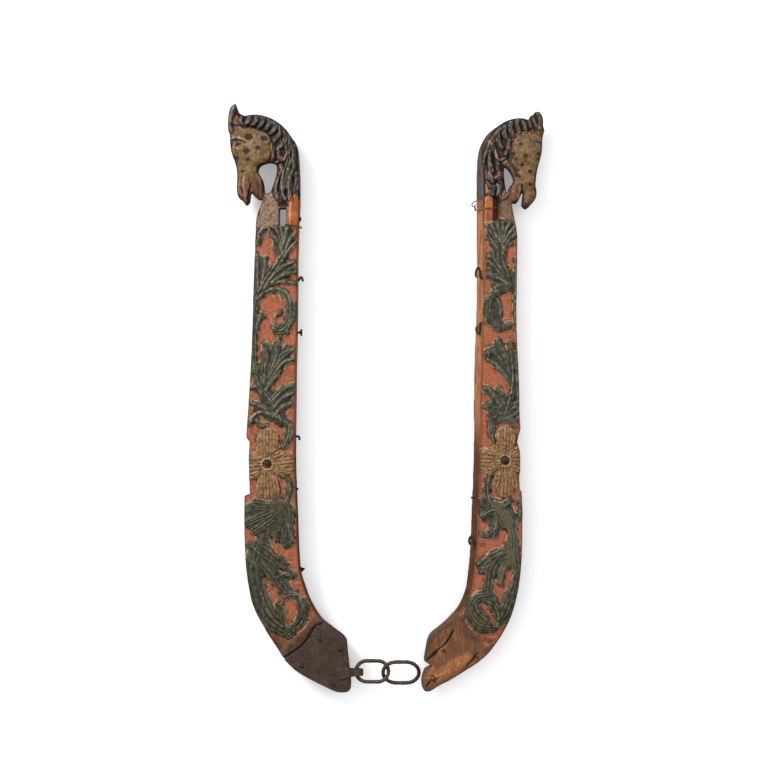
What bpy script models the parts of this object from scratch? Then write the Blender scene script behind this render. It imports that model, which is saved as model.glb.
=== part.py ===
"""A pair of carved wooden hames for a draught horse, with an iron foot shoe and two chain links.

The pair stands upright as it is worn: +X to the right as seen from the carved front, which looks
towards -Y, and +Z up. The backs lie in the plane y = 0, the feet end at z = 0, and x = 0 is midway
between the two hames. Driving sizes are in millimetres, and MM turns them into metres.
"""
import math

import bmesh
import bpy
from mathutils import Matrix, Vector

MM = 0.001
WELD = 0.01 * MM              # vertices closer than this become one
CHORDS = 3                    # straight chords between two points of a smooth curve
LEFT, RIGHT = -1, 1

# Wood
HAME_THICKNESS = 30.0
TOE_THICKNESS = 21.0          # thickness at the tip of the foot
TAPER_TOP = 95.0              # height where the foot starts to thin
LEAN = {LEFT: 1.0, RIGHT: 7.5}    # how far the inner side face slopes back under the front
LEAN_HEIGHTS = (40.0, 120.0, 600.0, 643.0)   # the slope grows in, holds, and fades out again
LEAN_LIMIT = 115.0            # only the inner edge lies nearer to the middle than this
FIT_GAP = 0.3                 # clearance between pieces that touch

# Iron
SHEET = 1.8                   # foot shoe
SHOE_PROUD = 1.0              # how far the shoe's front stands in front of the wood
SEAT_OVERCUT = 4.0            # how far the shoe's seat cutter reaches outside the wood
STRAP = 2.8                   # thickness of the eye's strap
EYE_HALF_GAP = 4.4
EYE_CENTRE = (-33.8, -13.0, 22.6)
LINK_WIRE = 2.3               # radius of the chain links' wire
BINDING_WIRE = 0.5            # radius of the wire round each post
SHANK = 1.0                   # radius of the edge tacks' and hooks' shanks
TACK_DEPTH = 9.0              # how deep tacks sit in the wood

# Outlines as (distance outwards from the middle, height). A stretch is one smooth run, and there is
# a corner wherever one stretch ends and the next begins.
LEFT_OUTLINE = {
    "panel_edge": [(141.5, 574), (145.5, 563), (148.6, 556), (150.8, 543), (152, 508), (153.6, 468),
                   (154.6, 420), (157.3, 369), (162, 295)],
    "tug_recess": [(158.2, 290.6), (159, 270), (157.8, 229)],
    "outer_curve": [(164, 228), (164, 188), (162.3, 148), (155.6, 107), (142.8, 78.5), (126.2, 51.6),
                    (111.7, 31.5), (97.2, 20.5), (76.4, 9.2), (60, 1.5), (52, 0), (45, 0.8), (41.3, 5),
                    (41.3, 14.5), (43.4, 33), (44.9, 49.5), (45.9, 60)],
    "inner_edge": [(49.5, 65), (66, 77.5), (76, 86.5), (87.9, 105.6), (94.1, 122), (98.7, 138),
                   (101, 160), (103.4, 223), (104.9, 265), (104.9, 291), (104.2, 355), (102.4, 455),
                   (102, 513), (99.8, 571), (100.1, 605), (102.7, 631), (109.4, 642.4), (117.7, 653.8),
                   (128.1, 662), (139.4, 667.2), (151.8, 669.3), (164.4, 667.8)],
    "ear_back": [(169.5, 670.4), (172.6, 676.5), (174.1, 681.7)],
    "ear_front": [(177.8, 680.7), (181.4, 675.6), (183.2, 665), (183.2, 651.7), (181.4, 646.6)],
    "face": [(180.8, 634), (178.9, 623.7), (174.7, 612.4), (172.6, 600), (173.2, 584.4), (171.6, 574),
             (166.3, 569.3), (162.3, 564.2), (158.1, 567.8)],
    "mouth": [(156.9, 580)],
    "jaw": [(153.9, 576), (148.8, 571.4), (143.6, 571)],
}
RIGHT_OUTLINE = {
    "panel_edge": [(144.8, 565), (147.3, 553), (150.6, 534), (151.3, 514), (150.6, 489), (150.6, 414),
                   (152.7, 373), (153.9, 327), (155.2, 306)],
    "tug_recess": [(152.7, 295.6), (151.8, 290), (154.6, 277), (154.6, 257), (153.8, 249), (154.3, 234.6)],
    "outer_curve": [(156.3, 233), (157.2, 211), (157.2, 175), (155.2, 139), (150.8, 112), (145.6, 93),
                    (138.3, 75.4), (129, 60), (118.7, 46.4), (106.3, 35), (91.8, 25.8), (77.3, 16.4),
                    (61.7, 8.1), (50.2, 1.4), (44.5, 1.9), (40.9, 8.1), (40.9, 16.4), (44.1, 25.8)],
    "foot_split": [(53, 30.7)],
    "inner_edge": [(43.5, 37), (45.6, 49.5), (48.3, 62), (53.4, 69.3), (63.8, 77.5), (76.2, 89),
                   (85.5, 101.4), (90.7, 114), (93.7, 127), (97.2, 160), (98.8, 193), (101, 246),
                   (102, 290), (102, 339), (103, 390), (105, 443), (105.4, 489), (105, 564), (105, 605),
                   (106.5, 623.7), (110.2, 636), (117.4, 646.6), (127.7, 654.8), (138.2, 661.5),
                   (148.5, 664.7), (157, 665), (165.1, 663)],
    "ear": [(166.1, 667.2), (170.2, 669.3), (171.8, 671.9), (175.9, 672.7), (179.5, 669.3), (181.7, 664),
            (181.7, 656), (183.2, 650.8), (181.7, 646.6)],
    "face": [(180.6, 640), (180, 625.8), (177.5, 615.5), (174.8, 605), (173.3, 594.7), (172.8, 586.5),
             (174, 580), (172.8, 572), (167.2, 564.7), (161.4, 560), (156.7, 564)],
    "mouth": [(158.8, 583)],
    "jaw": [(153.1, 570), (150.5, 566.8), (145.3, 567.2)],
}
# The opening under each horse's jaw, and the strap slot between the panel and the neck post.
JAW_OPENING = {
    LEFT: [(142.1, 590.4), (144.7, 596.5), (148.2, 603), (147.8, 607), (144.7, 611), (137.3, 613.6),
           (129.1, 612.7), (126.6, 607), (128.1, 596.5), (132.2, 584), (134.3, 579.5), (140.2, 578.5)],
    RIGHT: [(141.8, 583.3), (143.3, 586.5), (146.4, 589.5), (146.9, 596), (143.3, 603), (140.1, 607),
            (137.1, 608.8), (136.1, 599), (137.6, 586.5), (139.6, 577)],
}
STRAP_SLOT = {
    LEFT: [(115.7, 539.7), (123.9, 539.7), (123.9, 560.5), (115.7, 560.5)],
    RIGHT: [(124.2, 548.7), (131.2, 548.7), (132.3, 571.9), (125.2, 571.9)],
}
# The shoe's upper rim runs across the foot from the outer curve to the inner edge.
SHOE_RIM = [(118, 38.4), (97.2, 53.7), (86.9, 67.2), (80.6, 78.5), (75.5, 79.5), (66, 77.5)]

# Hardware places as (x, height) on the front.
ROSETTE_BOLT = {LEFT: (-137.1, 265.6), RIGHT: (137.2, 268.8)}
SHOE_NAILS = [(-52.7, 50.6), (-61.5, 9.6), (-77.5, 62.5), (-98.0, 31.0)]
RIGHT_FOOT_NAILS = [(55.2, 14.3), (66.0, 48.6)]

WOOD = ("painted_wood", (0.42, 0.17, 0.09), 0.55, 0.0)
RUSTY_SHEET = ("rusty_sheet_iron", (0.07, 0.05, 0.045), 0.7, 0.6)
FORGED_IRON = ("forged_iron", (0.11, 0.075, 0.05), 0.6, 0.7)
WIRE_IRON = ("binding_wire", (0.16, 0.13, 0.10), 0.5, 0.8)


def clear_scene():
    for item in list(bpy.data.objects):
        bpy.data.objects.remove(item, do_unlink=True)


def new_collection(name):
    group = bpy.data.collections.new(name)
    bpy.context.scene.collection.children.link(group)
    return group


def iron_or_wood(name, colour, roughness, metallic):
    """One Principled material, made the first time it is asked for."""
    found = bpy.data.materials.get(name)
    if found:
        return found
    material = bpy.data.materials.new(name)
    material.use_nodes = True
    shader = material.node_tree.nodes["Principled BSDF"]
    shader.inputs["Base Color"].default_value = (*colour, 1.0)
    shader.inputs["Roughness"].default_value = roughness
    shader.inputs["Metallic"].default_value = metallic
    return material


def add_object(name, mesh, finish=None, smooth_angle=None):
    """Link a mesh as a named part, or as a hidden cutter where it has no finish."""
    item = bpy.data.objects.new(name, mesh)
    if finish:
        mesh.materials.clear()
        mesh.materials.append(iron_or_wood(*finish))
        parts.objects.link(item)
    else:
        cutters.objects.link(item)
        item.hide_render = True
        item.display_type = "WIRE"
    if smooth_angle:
        mesh.shade_smooth()
        mesh.set_sharp_from_angle(angle=math.radians(smooth_angle))
    return item


def cut(item, cutter, operation="DIFFERENCE"):
    step = item.modifiers.new(cutter.name, "BOOLEAN")
    step.operation = operation
    step.solver = "EXACT"
    step.object = cutter


def catmull_rom(knots):
    """Points along the curve from the second knot up to, but without, the one before last."""
    run = []
    for a, b, c, d in zip(knots, knots[1:], knots[2:], knots[3:]):
        for i in range(CHORDS):
            t = i / CHORDS
            run.append(0.5 * (2 * b + (c - a) * t + (2 * a - 5 * b + 4 * c - d) * t ** 2
                              + (3 * b - a - 3 * c + d) * t ** 3))
    return run


def smooth_run(points):
    """Smooth curve through the points of one stretch, in two or three dimensions."""
    knots = [Vector(p) for p in points]
    if len(knots) < 3:
        return knots
    before, after = 2 * knots[0] - knots[1], 2 * knots[-1] - knots[-2]
    return catmull_rom([before] + knots + [after]) + [knots[-1]]


def smooth_loop(points):
    """Closed smooth curve through all the points."""
    wrapped = [points[-1]] + list(points) + [points[0], points[1]]
    return catmull_rom([Vector(p) for p in wrapped])


def plate_mesh(name, loops, thickness):
    """Mesh of a flat outline with holes. It stands upright, from y = -thickness to y = 0."""
    curve = bpy.data.curves.new(name, "CURVE")
    curve.dimensions = "2D"
    curve.fill_mode = "BOTH"
    curve.extrude = thickness * MM / 2
    for loop in loops:
        spline = curve.splines.new("POLY")
        spline.points.add(len(loop) - 1)
        for point, (x, z) in zip(spline.points, loop):
            point.co = (x * MM, z * MM, 0, 1)
        spline.use_cyclic_u = True
    mesh = mesh_from_curve(curve)
    mesh.transform(Matrix.Translation((0, -thickness * MM / 2, 0)) @ Matrix.Rotation(math.pi / 2, 4, "X"))
    return mesh


def mesh_from_curve(curve):
    """Closed mesh of a curve's evaluated shape, with its caps welded and its faces pointing out."""
    holder = bpy.data.objects.new(curve.name, curve)
    bpy.context.scene.collection.objects.link(holder)
    evaluated = holder.evaluated_get(bpy.context.evaluated_depsgraph_get())
    mesh = bpy.data.meshes.new_from_object(evaluated)
    bpy.data.objects.remove(holder, do_unlink=True)
    mesh.name = curve.name
    shape = bmesh.new()
    shape.from_mesh(mesh)
    bmesh.ops.remove_doubles(shape, verts=shape.verts, dist=WELD)
    bmesh.ops.recalc_face_normals(shape, faces=shape.faces)
    shape.to_mesh(mesh)
    shape.free()
    return mesh


def wire_mesh(name, points, radius, closed=False, sides=2):
    """Round bar along a list of points in millimetres."""
    curve = bpy.data.curves.new(name, "CURVE")
    curve.dimensions = "3D"
    curve.bevel_depth = radius * MM
    curve.bevel_resolution = sides
    curve.use_fill_caps = not closed
    spline = curve.splines.new("POLY")
    spline.points.add(len(points) - 1)
    for point, place in zip(spline.points, points):
        point.co = (place[0] * MM, place[1] * MM, place[2] * MM, 1)
    spline.use_cyclic_u = closed
    return mesh_from_curve(curve)


def turned_mesh(name, profile, centre, axis, segments=16):
    """Solid of revolution of (radius, distance along axis) pairs, head first, about an axis."""
    shape = bmesh.new()
    verts = [shape.verts.new((r * MM, 0, h * MM)) for r, h in profile]
    edges = [shape.edges.new(pair) for pair in zip(verts, verts[1:])]
    bmesh.ops.spin(shape, geom=verts + edges, axis=(0, 0, 1), cent=(0, 0, 0), steps=segments,
                   angle=2 * math.pi, use_merge=True)
    bmesh.ops.remove_doubles(shape, verts=shape.verts, dist=WELD)
    bmesh.ops.recalc_face_normals(shape, faces=shape.faces)
    mesh = bpy.data.meshes.new(name)
    shape.to_mesh(mesh)
    shape.free()
    turn = Vector((0, 0, 1)).rotation_difference(Vector(axis)).to_matrix().to_4x4()
    mesh.transform(Matrix.Translation(Vector(centre) * MM) @ turn)
    return mesh


def rod_mesh(name, start, end, radius, segments=16):
    """Plain cylinder between two points in millimetres."""
    start, end = Vector(start), Vector(end)
    shape = bmesh.new()
    bmesh.ops.create_cone(shape, cap_ends=True, segments=segments, radius1=radius * MM,
                          radius2=radius * MM, depth=(end - start).length * MM)
    mesh = bpy.data.meshes.new(name)
    shape.to_mesh(mesh)
    shape.free()
    turn = Vector((0, 0, 1)).rotation_difference(end - start).to_matrix().to_4x4()
    mesh.transform(Matrix.Translation((start + end) / 2 * MM) @ turn)
    return mesh


def box_mesh(name, low, high):
    """Block between two opposite corners in millimetres."""
    low, high = Vector(low), Vector(high)
    shape = bmesh.new()
    bmesh.ops.create_cube(shape, size=1.0)
    size = (high - low) * MM
    place = Matrix.Translation((low + high) / 2 * MM) @ Matrix.Diagonal((*size, 1))
    bmesh.ops.transform(shape, matrix=place, verts=shape.verts)
    mesh = bpy.data.meshes.new(name)
    shape.to_mesh(mesh)
    shape.free()
    return mesh


def front_of_foot(z, proud=0.0):
    """y of the foot's front plane at height z, in millimetres."""
    slope = (HAME_THICKNESS - TOE_THICKNESS) / TAPER_TOP
    return -(TOE_THICKNESS + slope * z + proud)


def ramp(value, low, high):
    return min(max((value - low) / (high - low), 0.0), 1.0)


def lean_inner_side(mesh, side):
    """Slope the inner side face: its front edge moves outwards, its back edge stays."""
    grow_from, grow_to, fade_from, fade_to = LEAN_HEIGHTS
    for vertex in mesh.vertices:
        x, y, z = vertex.co / MM
        if y < -HAME_THICKNESS / 2 and abs(x) < LEAN_LIMIT:
            share = ramp(z, grow_from, grow_to) * (1 - ramp(z, fade_from, fade_to))
            vertex.co.x += side * LEAN[side] * share * MM


def make_hame(name, side, outline):
    """One hame with its horse head, jaw opening, strap slot, tapered foot and bolt hole."""
    edge = [point for stretch in outline.values() for point in smooth_run(stretch)]
    loops = [edge, smooth_loop(JAW_OPENING[side])]
    mesh = plate_mesh(name, [[(side * u, z) for u, z in loop] for loop in loops], HAME_THICKNESS)
    lean_inner_side(mesh, side)
    hame = add_object(name, mesh, WOOD, smooth_angle=35)
    slot = plate_mesh(name + "_slot_cutter", [[(side * u, z) for u, z in STRAP_SLOT[side]]],
                      HAME_THICKNESS + 2)
    slot.transform(Matrix.Translation((0, MM, 0)))
    cut(hame, add_object(slot.name, slot))
    # The block in front of the foot's slanted front plane.
    wedge = box_mesh(name + "_taper_cutter", (-210, -30, -150), (210, 0, 0))
    angle = math.atan2(HAME_THICKNESS - TOE_THICKNESS, TAPER_TOP)
    wedge.transform(Matrix.Translation((0, -HAME_THICKNESS * MM, TAPER_TOP * MM))
                    @ Matrix.Rotation(angle, 4, "X"))
    cut(hame, add_object(wedge.name, wedge))
    x, z = ROSETTE_BOLT[side]
    bore = turned_mesh(name + "_bolt_cutter",
                       [(0, 1), (8, 1), (8, -3.9), (2.8, -3.9), (2.8, -40), (0, -40)], (x, 0, z), (0, 1, 0))
    cut(hame, add_object(bore.name, bore))
    return hame


def make_rosette_bolt(side, word):
    """Iron bolt through the rosette, clinched at the back over a rove sunk in the wood."""
    x, z = ROSETTE_BOLT[side]
    front = HAME_THICKNESS + FIT_GAP
    profile = [(0, -front - 3.2), (2.4, -front - 2.9), (3.6, -front - 1.6), (3.6, -front), (2.5, -front),
               (2.5, -1.7), (4.2, -1.7), (3.4, -0.6), (0, -0.3)]
    bolt = turned_mesh(word + "_rosette_bolt", profile, (x, 0, z), (0, 1, 0))
    add_object(bolt.name, bolt, FORGED_IRON, 40)
    ring = [(2.8, -3.6), (7.2, -3.6), (7.2, -2.0), (2.8, -2.0), (2.8, -3.6)]
    rove = turned_mesh(word + "_bolt_rove", ring, (x, 0, z), (0, 1, 0))
    add_object(rove.name, rove, FORGED_IRON, 40)


def make_strap(name, path, widths, gauges):
    """Flat bar bent in the X-Y plane along `path`, with its width along Z."""
    shape = bmesh.new()
    rings = []
    for i, (place, width, gauge) in enumerate(zip(path, widths, gauges)):
        before = Vector(path[max(i - 1, 0)])
        after = Vector(path[min(i + 1, len(path) - 1)])
        along = (after - before).normalized()
        across = Vector((-along.y, along.x)) * gauge / 2
        corners = []
        for side, rise in ((1, 1), (1, -1), (-1, -1), (-1, 1)):
            flat = Vector(place) + side * across
            corners.append(shape.verts.new(Vector((flat.x, flat.y, EYE_CENTRE[2] + rise * width / 2)) * MM))
        rings.append(corners)
    for one, two in zip(rings, rings[1:]):
        for i in range(4):
            j = (i + 1) % 4
            shape.faces.new((one[i], one[j], two[j], two[i]))
    shape.faces.new(rings[0])
    shape.faces.new(rings[-1][::-1])
    bmesh.ops.recalc_face_normals(shape, faces=shape.faces)
    mesh = bpy.data.meshes.new(name)
    shape.to_mesh(mesh)
    shape.free()
    return mesh


def eye_strap_route():
    """Centre line, widths and gauges of the eye: a tongue on the shoe's front, then a U to the toe."""
    radius = EYE_HALF_GAP + STRAP / 2
    x, y, _ = EYE_CENTRE
    tongue = [(-56.0, -23.9), (-50.0, -24.2), (-45.5, -24.3), (-43.8, -24.2), (-41.0, -22.4), (-38.0, -20.0)]
    widths = [15.5, 13.5, 11.2, 10.4, 9.2, 8.3]
    gauges = [1.6, 2.2, 2.7]
    bow = [(x + radius * math.sin(a), y - radius * math.cos(a))
           for a in (math.pi * i / 12 for i in range(13))]
    tail = [(-38.0, y + radius), (-42.6, y + radius)]
    route = tongue + bow + tail
    widths += [8.0] * (len(route) - len(widths))
    return route, widths, gauges + [STRAP] * (len(route) - len(gauges))


def shoe_skin(rim_gap=0.0):
    """Open surface of the foot below the rim: front, back, outer curve and toe, but no top."""
    foot = [p for p in smooth_run(LEFT_OUTLINE["outer_curve"]) if p.y < 38.0 or p.x < 60.0]
    inner = [p for p in smooth_run(LEFT_OUTLINE["inner_edge"]) if p.x < 65.9]
    rim = [Vector(p) + Vector((0.8, 1.0)) * rim_gap for p in reversed(SHOE_RIM)]
    mesh = plate_mesh("left_foot_shoe", [[(-p.x, p.y) for p in foot + inner + rim]], HAME_THICKNESS)
    for vertex in mesh.vertices:
        if vertex.co.y < -HAME_THICKNESS * MM / 2:
            vertex.co.y = front_of_foot(vertex.co.z / MM, SHOE_PROUD) * MM
    middles = [(a + b) / 2 for a, b in zip(rim, rim[1:])]
    shape = bmesh.new()
    shape.from_mesh(mesh)
    tops = []
    for face in shape.faces:
        centre = face.calc_center_median() / MM
        flat = Vector((-centre.x, centre.z))
        if abs(face.normal.y) < 0.5 and min((flat - m).length for m in middles) < 0.5:
            tops.append(face)
    bmesh.ops.delete(shape, geom=tops, context="FACES")
    shape.to_mesh(mesh)
    shape.free()
    return mesh


def make_shoe(hame):
    """Sheet-iron shoe over the left foot, with its chain eye, and the rebate for it in the wood."""
    seat = add_object("shoe_seat_cutter", shoe_skin(rim_gap=1.5 * FIT_GAP))
    hollow = seat.modifiers.new("seat", "SOLIDIFY")
    depth = SHEET + FIT_GAP + SEAT_OVERCUT
    hollow.thickness = depth * MM
    hollow.offset = -1 + 2 * SEAT_OVERCUT / depth
    hollow.use_even_offset = True
    cut(hame, seat)
    shoe = add_object("left_foot_shoe", shoe_skin(), RUSTY_SHEET, smooth_angle=35)
    wall = shoe.modifiers.new("sheet", "SOLIDIFY")
    wall.thickness = SHEET * MM
    wall.offset = -1
    wall.use_even_offset = True
    strap = make_strap("eye_strap", *eye_strap_route())
    cut(shoe, add_object(strap.name, strap), "UNION")
    return shoe


def make_nail(name, item_cut, place, front, length=11.0, head=2.6):
    """Short nail driven in from the front, and its hole in what it holds."""
    x, z = place
    profile = [(0, -1.1), (head * 0.7, -0.9), (head, -0.2), (head, 0), (SHANK, 0), (SHANK, length - 1),
               (0, length)]
    nail = turned_mesh(name, profile, (x, front - FIT_GAP, z), (0, 1, 0), segments=12)
    add_object(name, nail, FORGED_IRON, 40)
    hole = rod_mesh(name + "_cutter", (x, front - 3, z), (x, front + length + 1, z), SHANK + FIT_GAP)
    cutter = add_object(hole.name, hole)
    for item in item_cut:
        cut(item, cutter)


def make_tack(name, hame, head_centre, inward, head, shank_length, dome=0.0, shank=0.9):
    """Tack with a flared or domed head; `inward` points from the head into the wood."""
    flare = [(0, -dome), (head * 0.75, -dome * 0.55), (head, 0), (head, 0.6), (shank, 2.6)]
    if dome:
        flare[-1] = (shank, 0.6)
    tack = turned_mesh(name, flare + [(shank, shank_length - 1.5), (0, shank_length)], head_centre, inward,
                       segments=14)
    add_object(name, tack, FORGED_IRON, 40)
    start, way = Vector(head_centre), Vector(inward).normalized()
    hole = rod_mesh(name + "_cutter", start - way, start + way * (shank_length + 1), shank + FIT_GAP)
    cut(hame, add_object(hole.name, hole))


def make_hook(name, hame, route, radius=SHANK):
    """Nail bent into a hook. Its first two points are the shank in the wood."""
    bar = wire_mesh(name, [route[0]] + smooth_run(route[1:]), radius)
    add_object(name, bar, FORGED_IRON, 50)
    start, out = Vector(route[0]), Vector(route[1])
    way = (out - start).normalized()
    hole = rod_mesh(name + "_cutter", start - way, out + way * 1.5, radius + FIT_GAP)
    cut(hame, add_object(hole.name, hole))


def link_route(left, right, half_width, centre_z, roll, segments=10):
    """Centre line of an oval chain link between two x limits, rolled about its long axis."""
    radius = half_width - LINK_WIRE
    ends = ((right - LINK_WIRE - radius, -90), (left + LINK_WIRE + radius, 90))
    points = []
    for x, first in ends:
        for i in range(segments + 1):
            angle = math.radians(first + 180 * i / segments)
            points.append((x + radius * math.cos(angle), radius * math.sin(angle)))
    tilt = math.radians(roll)
    return [(x, EYE_CENTRE[1] + w * math.sin(tilt), centre_z + w * math.cos(tilt)) for x, w in points]


def make_link(name, pivot, **shape):
    """Chain link whose origin lies on its joint axis."""
    mesh = wire_mesh(name, link_route(**shape), LINK_WIRE, closed=True, sides=3)
    mesh.transform(Matrix.Translation(-Vector(pivot) * MM))
    link = add_object(name, mesh, FORGED_IRON, 50)
    link.location = Vector(pivot) * MM


def make_edge_hardware(left, right):
    """Tacks and hooks left in the inner edges, where the collar pads were fastened."""
    make_tack("left_post_tack", left, (-100.0, -15, 548.7), (-1, 0, 0), 3.1, TACK_DEPTH, dome=1.6)
    make_hook("left_edge_tack_1", left, [(-111, -15, 477.6), (-102, -15, 477.6), (-100.4, -15, 479.3),
                                         (-99.6, -15, 481.2), (-97.8, -15, 480.4), (-96.9, -15, 476.6)])
    make_tack("left_edge_tack_2", left, (-98.0, -15, 417.0), (-1, 0, 0), 4.0, 13.0)
    make_hook("left_edge_tack_3", left, [(-114, -15, 296.4), (-104, -15, 296.4), (-102, -15, 296.6),
                                         (-101.0, -15, 295.2), (-100.9, -15, 292.4)])
    make_tack("left_edge_tack_4", left, (-102.6, -15, 235.5), (-1, 0, 0), 1.3, TACK_DEPTH, dome=0.3,
              shank=0.8)
    make_tack("left_edge_tack_5", left, (-96.2, -15, 141.4), (-0.79, 0, 0.61), 2.6, 11.0)
    make_hook("right_edge_hook_1", right, [(120, -22, 480.0), (110, -22, 480.0), (108.6, -22.6, 482.0),
                                           (108.4, -23, 487.5), (106.8, -23, 491.8), (104.6, -22.6, 490.0),
                                           (103.4, -22.2, 485.0), (104.6, -22, 480.6)])
    make_hook("right_edge_hook_2", right, [(120, -22, 428.0), (110, -22, 428.0), (108.2, -22.6, 426.0),
                                           (108.2, -23, 419.5), (107.0, -23, 414.6), (105.0, -22.6, 417.6),
                                           (103.9, -22.2, 421.0), (105.0, -22, 423.6)])
    make_hook("right_edge_hook_3", right, [(113, -22, 171.4), (103.2, -22, 171.4), (101.4, -22.6, 172.8),
                                           (100.2, -23, 178.0), (98.2, -23, 181.2), (96.2, -22.6, 178.4),
                                           (95.8, -22.2, 174.6), (97.2, -22, 171.6)])
    make_tack("right_edge_stub", right, (98.8, -8, 225.0), (1, 0, 0), 1.4, TACK_DEPTH, dome=0.3, shank=1.0)


def groove_for_wire(hame, name, x_range, z_low, z_high):
    """Shallow groove across the back of the post, where the binding wire lies."""
    groove = box_mesh(name + "_groove_cutter", (x_range[0], -2.0, z_low), (x_range[1], 2.0, z_high))
    cut(hame, add_object(groove.name, groove))


def make_binding_wires(left, right):
    """One turn of wire round each neck post, through the strap slot and round the inner edge."""
    near, far = -FIT_GAP - BINDING_WIRE, -HAME_THICKNESS - FIT_GAP - BINDING_WIRE - 0.2
    loop = [(-116.8, near - 0.6, 541.8), (-116.8, far, 541.8), (-107.5, far - 0.2, 540.3),
            (-99.2, far, 539.0), (-98.4, -15, 538.6), (-99.2, near - 0.6, 539.0),
            (-108, near - 0.4, 540.3)]
    left_wire = wire_mesh("left_post_wire", smooth_corners(loop, closed=True), BINDING_WIRE, closed=True)
    add_object("left_post_wire", left_wire, WIRE_IRON, 50)
    groove_for_wire(left, "left_post", (-118, -97), 537.6, 543.0)
    front = [(103.6, -27.5, 568.6), (101.0, -28.5, 567.6), (98.6, -29.5, 564.6), (99.0, -30.4, 562.6),
             (101.6, -31.2, 561.6), (103.2, far, 559.4), (104.0, far, 557.4), (106.6, far, 556.6),
             (112.4, far - 0.2, 559.4), (118, far - 0.2, 560.4), (126.6, far, 560.4)]
    back = [(126.8, near - 0.6, 560.4), (115, near - 0.5, 560.0), (103.4, near - 0.6, 559.6),
            (102.8, -14, 560.6), (102.4, -24.0, 564.6)]
    right_wire = wire_mesh("right_post_wire", smooth_corners(front + back), BINDING_WIRE)
    add_object("right_post_wire", right_wire, WIRE_IRON, 50)
    groove_for_wire(right, "right_post", (100, 129.0), 558.2, 562.0)


def smooth_corners(points, closed=False):
    """Round each corner of a wire's route by one pass of corner cutting."""
    places = [Vector(p) for p in points]
    pairs = list(zip(places, places[1:] + places[:1])) if closed else list(zip(places, places[1:]))
    route = [] if closed else [places[0]]
    for a, b in pairs:
        reach = min(0.8 / max((b - a).length, 0.1), 0.3)
        route += [a.lerp(b, reach), b.lerp(a, reach)]
    return route if closed else route + [places[-1]]


clear_scene()
parts = new_collection("horse_collar_hames")
cutters = new_collection("cutters")

left_hame = make_hame("left_hame", LEFT, LEFT_OUTLINE)
right_hame = make_hame("right_hame", RIGHT, RIGHT_OUTLINE)
left_shoe = make_shoe(left_hame)
for number, spot in enumerate(SHOE_NAILS, 1):
    make_nail(f"left_shoe_nail_{number}", [left_hame, left_shoe], spot,
              front_of_foot(spot[1] + 2.6, SHOE_PROUD))
for number, spot in enumerate(RIGHT_FOOT_NAILS, 1):
    make_nail(f"right_foot_nail_{number}", [right_hame], spot, front_of_foot(spot[1] + 1.6), 9.0, 1.6)
make_rosette_bolt(LEFT, "left")
make_rosette_bolt(RIGHT, "right")
make_edge_hardware(left_hame, right_hame)
make_binding_wires(left_hame, right_hame)
make_link("chain_link_1", (-28.0, -13.0, 22.6), left=-37.5, right=4.8, half_width=14.4, centre_z=23.6,
          roll=12)
make_link("chain_link_2", (0.0, -13.0, 23.6), left=-6.1, right=40.3, half_width=17.0, centre_z=22.2,
          roll=-28)
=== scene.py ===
"""A pair of carved and painted horse-collar hames, seen from the front against a pale studio wall."""

import math

import bpy
import numpy as np
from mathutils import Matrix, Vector
from mathutils.kdtree import KDTree


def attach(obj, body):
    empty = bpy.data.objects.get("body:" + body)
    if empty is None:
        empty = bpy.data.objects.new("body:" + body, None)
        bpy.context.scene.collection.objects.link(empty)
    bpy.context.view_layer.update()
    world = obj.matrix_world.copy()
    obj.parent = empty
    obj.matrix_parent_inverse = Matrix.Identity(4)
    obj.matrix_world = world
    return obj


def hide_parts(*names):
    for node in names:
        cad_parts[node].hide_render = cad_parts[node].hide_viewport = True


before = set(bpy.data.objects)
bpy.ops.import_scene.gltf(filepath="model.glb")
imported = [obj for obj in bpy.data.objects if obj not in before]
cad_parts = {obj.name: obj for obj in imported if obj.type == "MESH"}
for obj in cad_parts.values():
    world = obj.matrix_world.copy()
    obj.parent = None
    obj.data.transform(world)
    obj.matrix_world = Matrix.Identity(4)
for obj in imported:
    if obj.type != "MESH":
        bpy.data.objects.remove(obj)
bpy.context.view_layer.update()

MM = 0.001

# Sizes are in millimetres unless a comment says otherwise. u runs outwards from the middle
# of the collar and z upwards, the same on both hames.

# The grid that each front is carved on, and the mesh that takes the carving.
CELL = 0.5
FIELD_U = (30.0, 192.0)
FIELD_Z = (-4.0, 690.0)
WOOD_CELL = 0.75
WOOD_SOFTENING = 5

# The board: it thins below TAPER_TOP, its head starts above HEAD_BASE (at the snout, outside
# SNOUT_U, above SNOUT_Z), and the carving ends over SHOE_FADE above the line of the shoe.
HAME_THICKNESS = 30.0
TOE_THICKNESS = 21.0
TAPER_TOP = 95.0
HEAD_BASE = (566, 576)
SNOUT_U = (143, 149)
SNOUT_Z = (548, 553)
SHOE_TOP = (77.0, 87.0)
SHOE_NORMAL = (0.75, 0.66)
SHOE_FADE = (3.0, 12.0)

# How far the ground is cut back, and how far each kind of carving stands above it.
GROUND_DEPTH = 2.8
HEAD_DEPTH = 2.8
BED_RISE = 2.3
LEAF_RISE = 3.6
FLOWER_RISE = 4.2
LOCK_RISE = 3.8
POST_RISE = 2.6
WORN_RISE = 0.5
SPOT_RISE = -0.15
LEAF_WIDER = 1.12

# Strokes: how square their section is (low) or round (high), and the grooves along them.
LEAF_POWER = 0.38
LOCK_POWER = 0.9
RIB_DEPTH = 0.42
GROOVE_SWAY = 0.35
GROOVE_TURNS = 7.0
VEINED_BELOW = 13.0
VEIN_WIDTHS = (0.9, 1.3, 1.3)
VEIN_RISE = 0.55
VEIN_PALE = 0.7

# Unevenness of the old wood: the carved ground's, the back's and the hewn side walls'.
WANDER = 0.55
KNIFE = 0.35
BACK_WEAR = 0.35
WALL_WEAR = 0.5

# The rounding of a head's long edges: how wide it is, and what is left of the thickness there.
HEAD_ROUND = 7.0
HEAD_EDGE = 0.62

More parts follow.
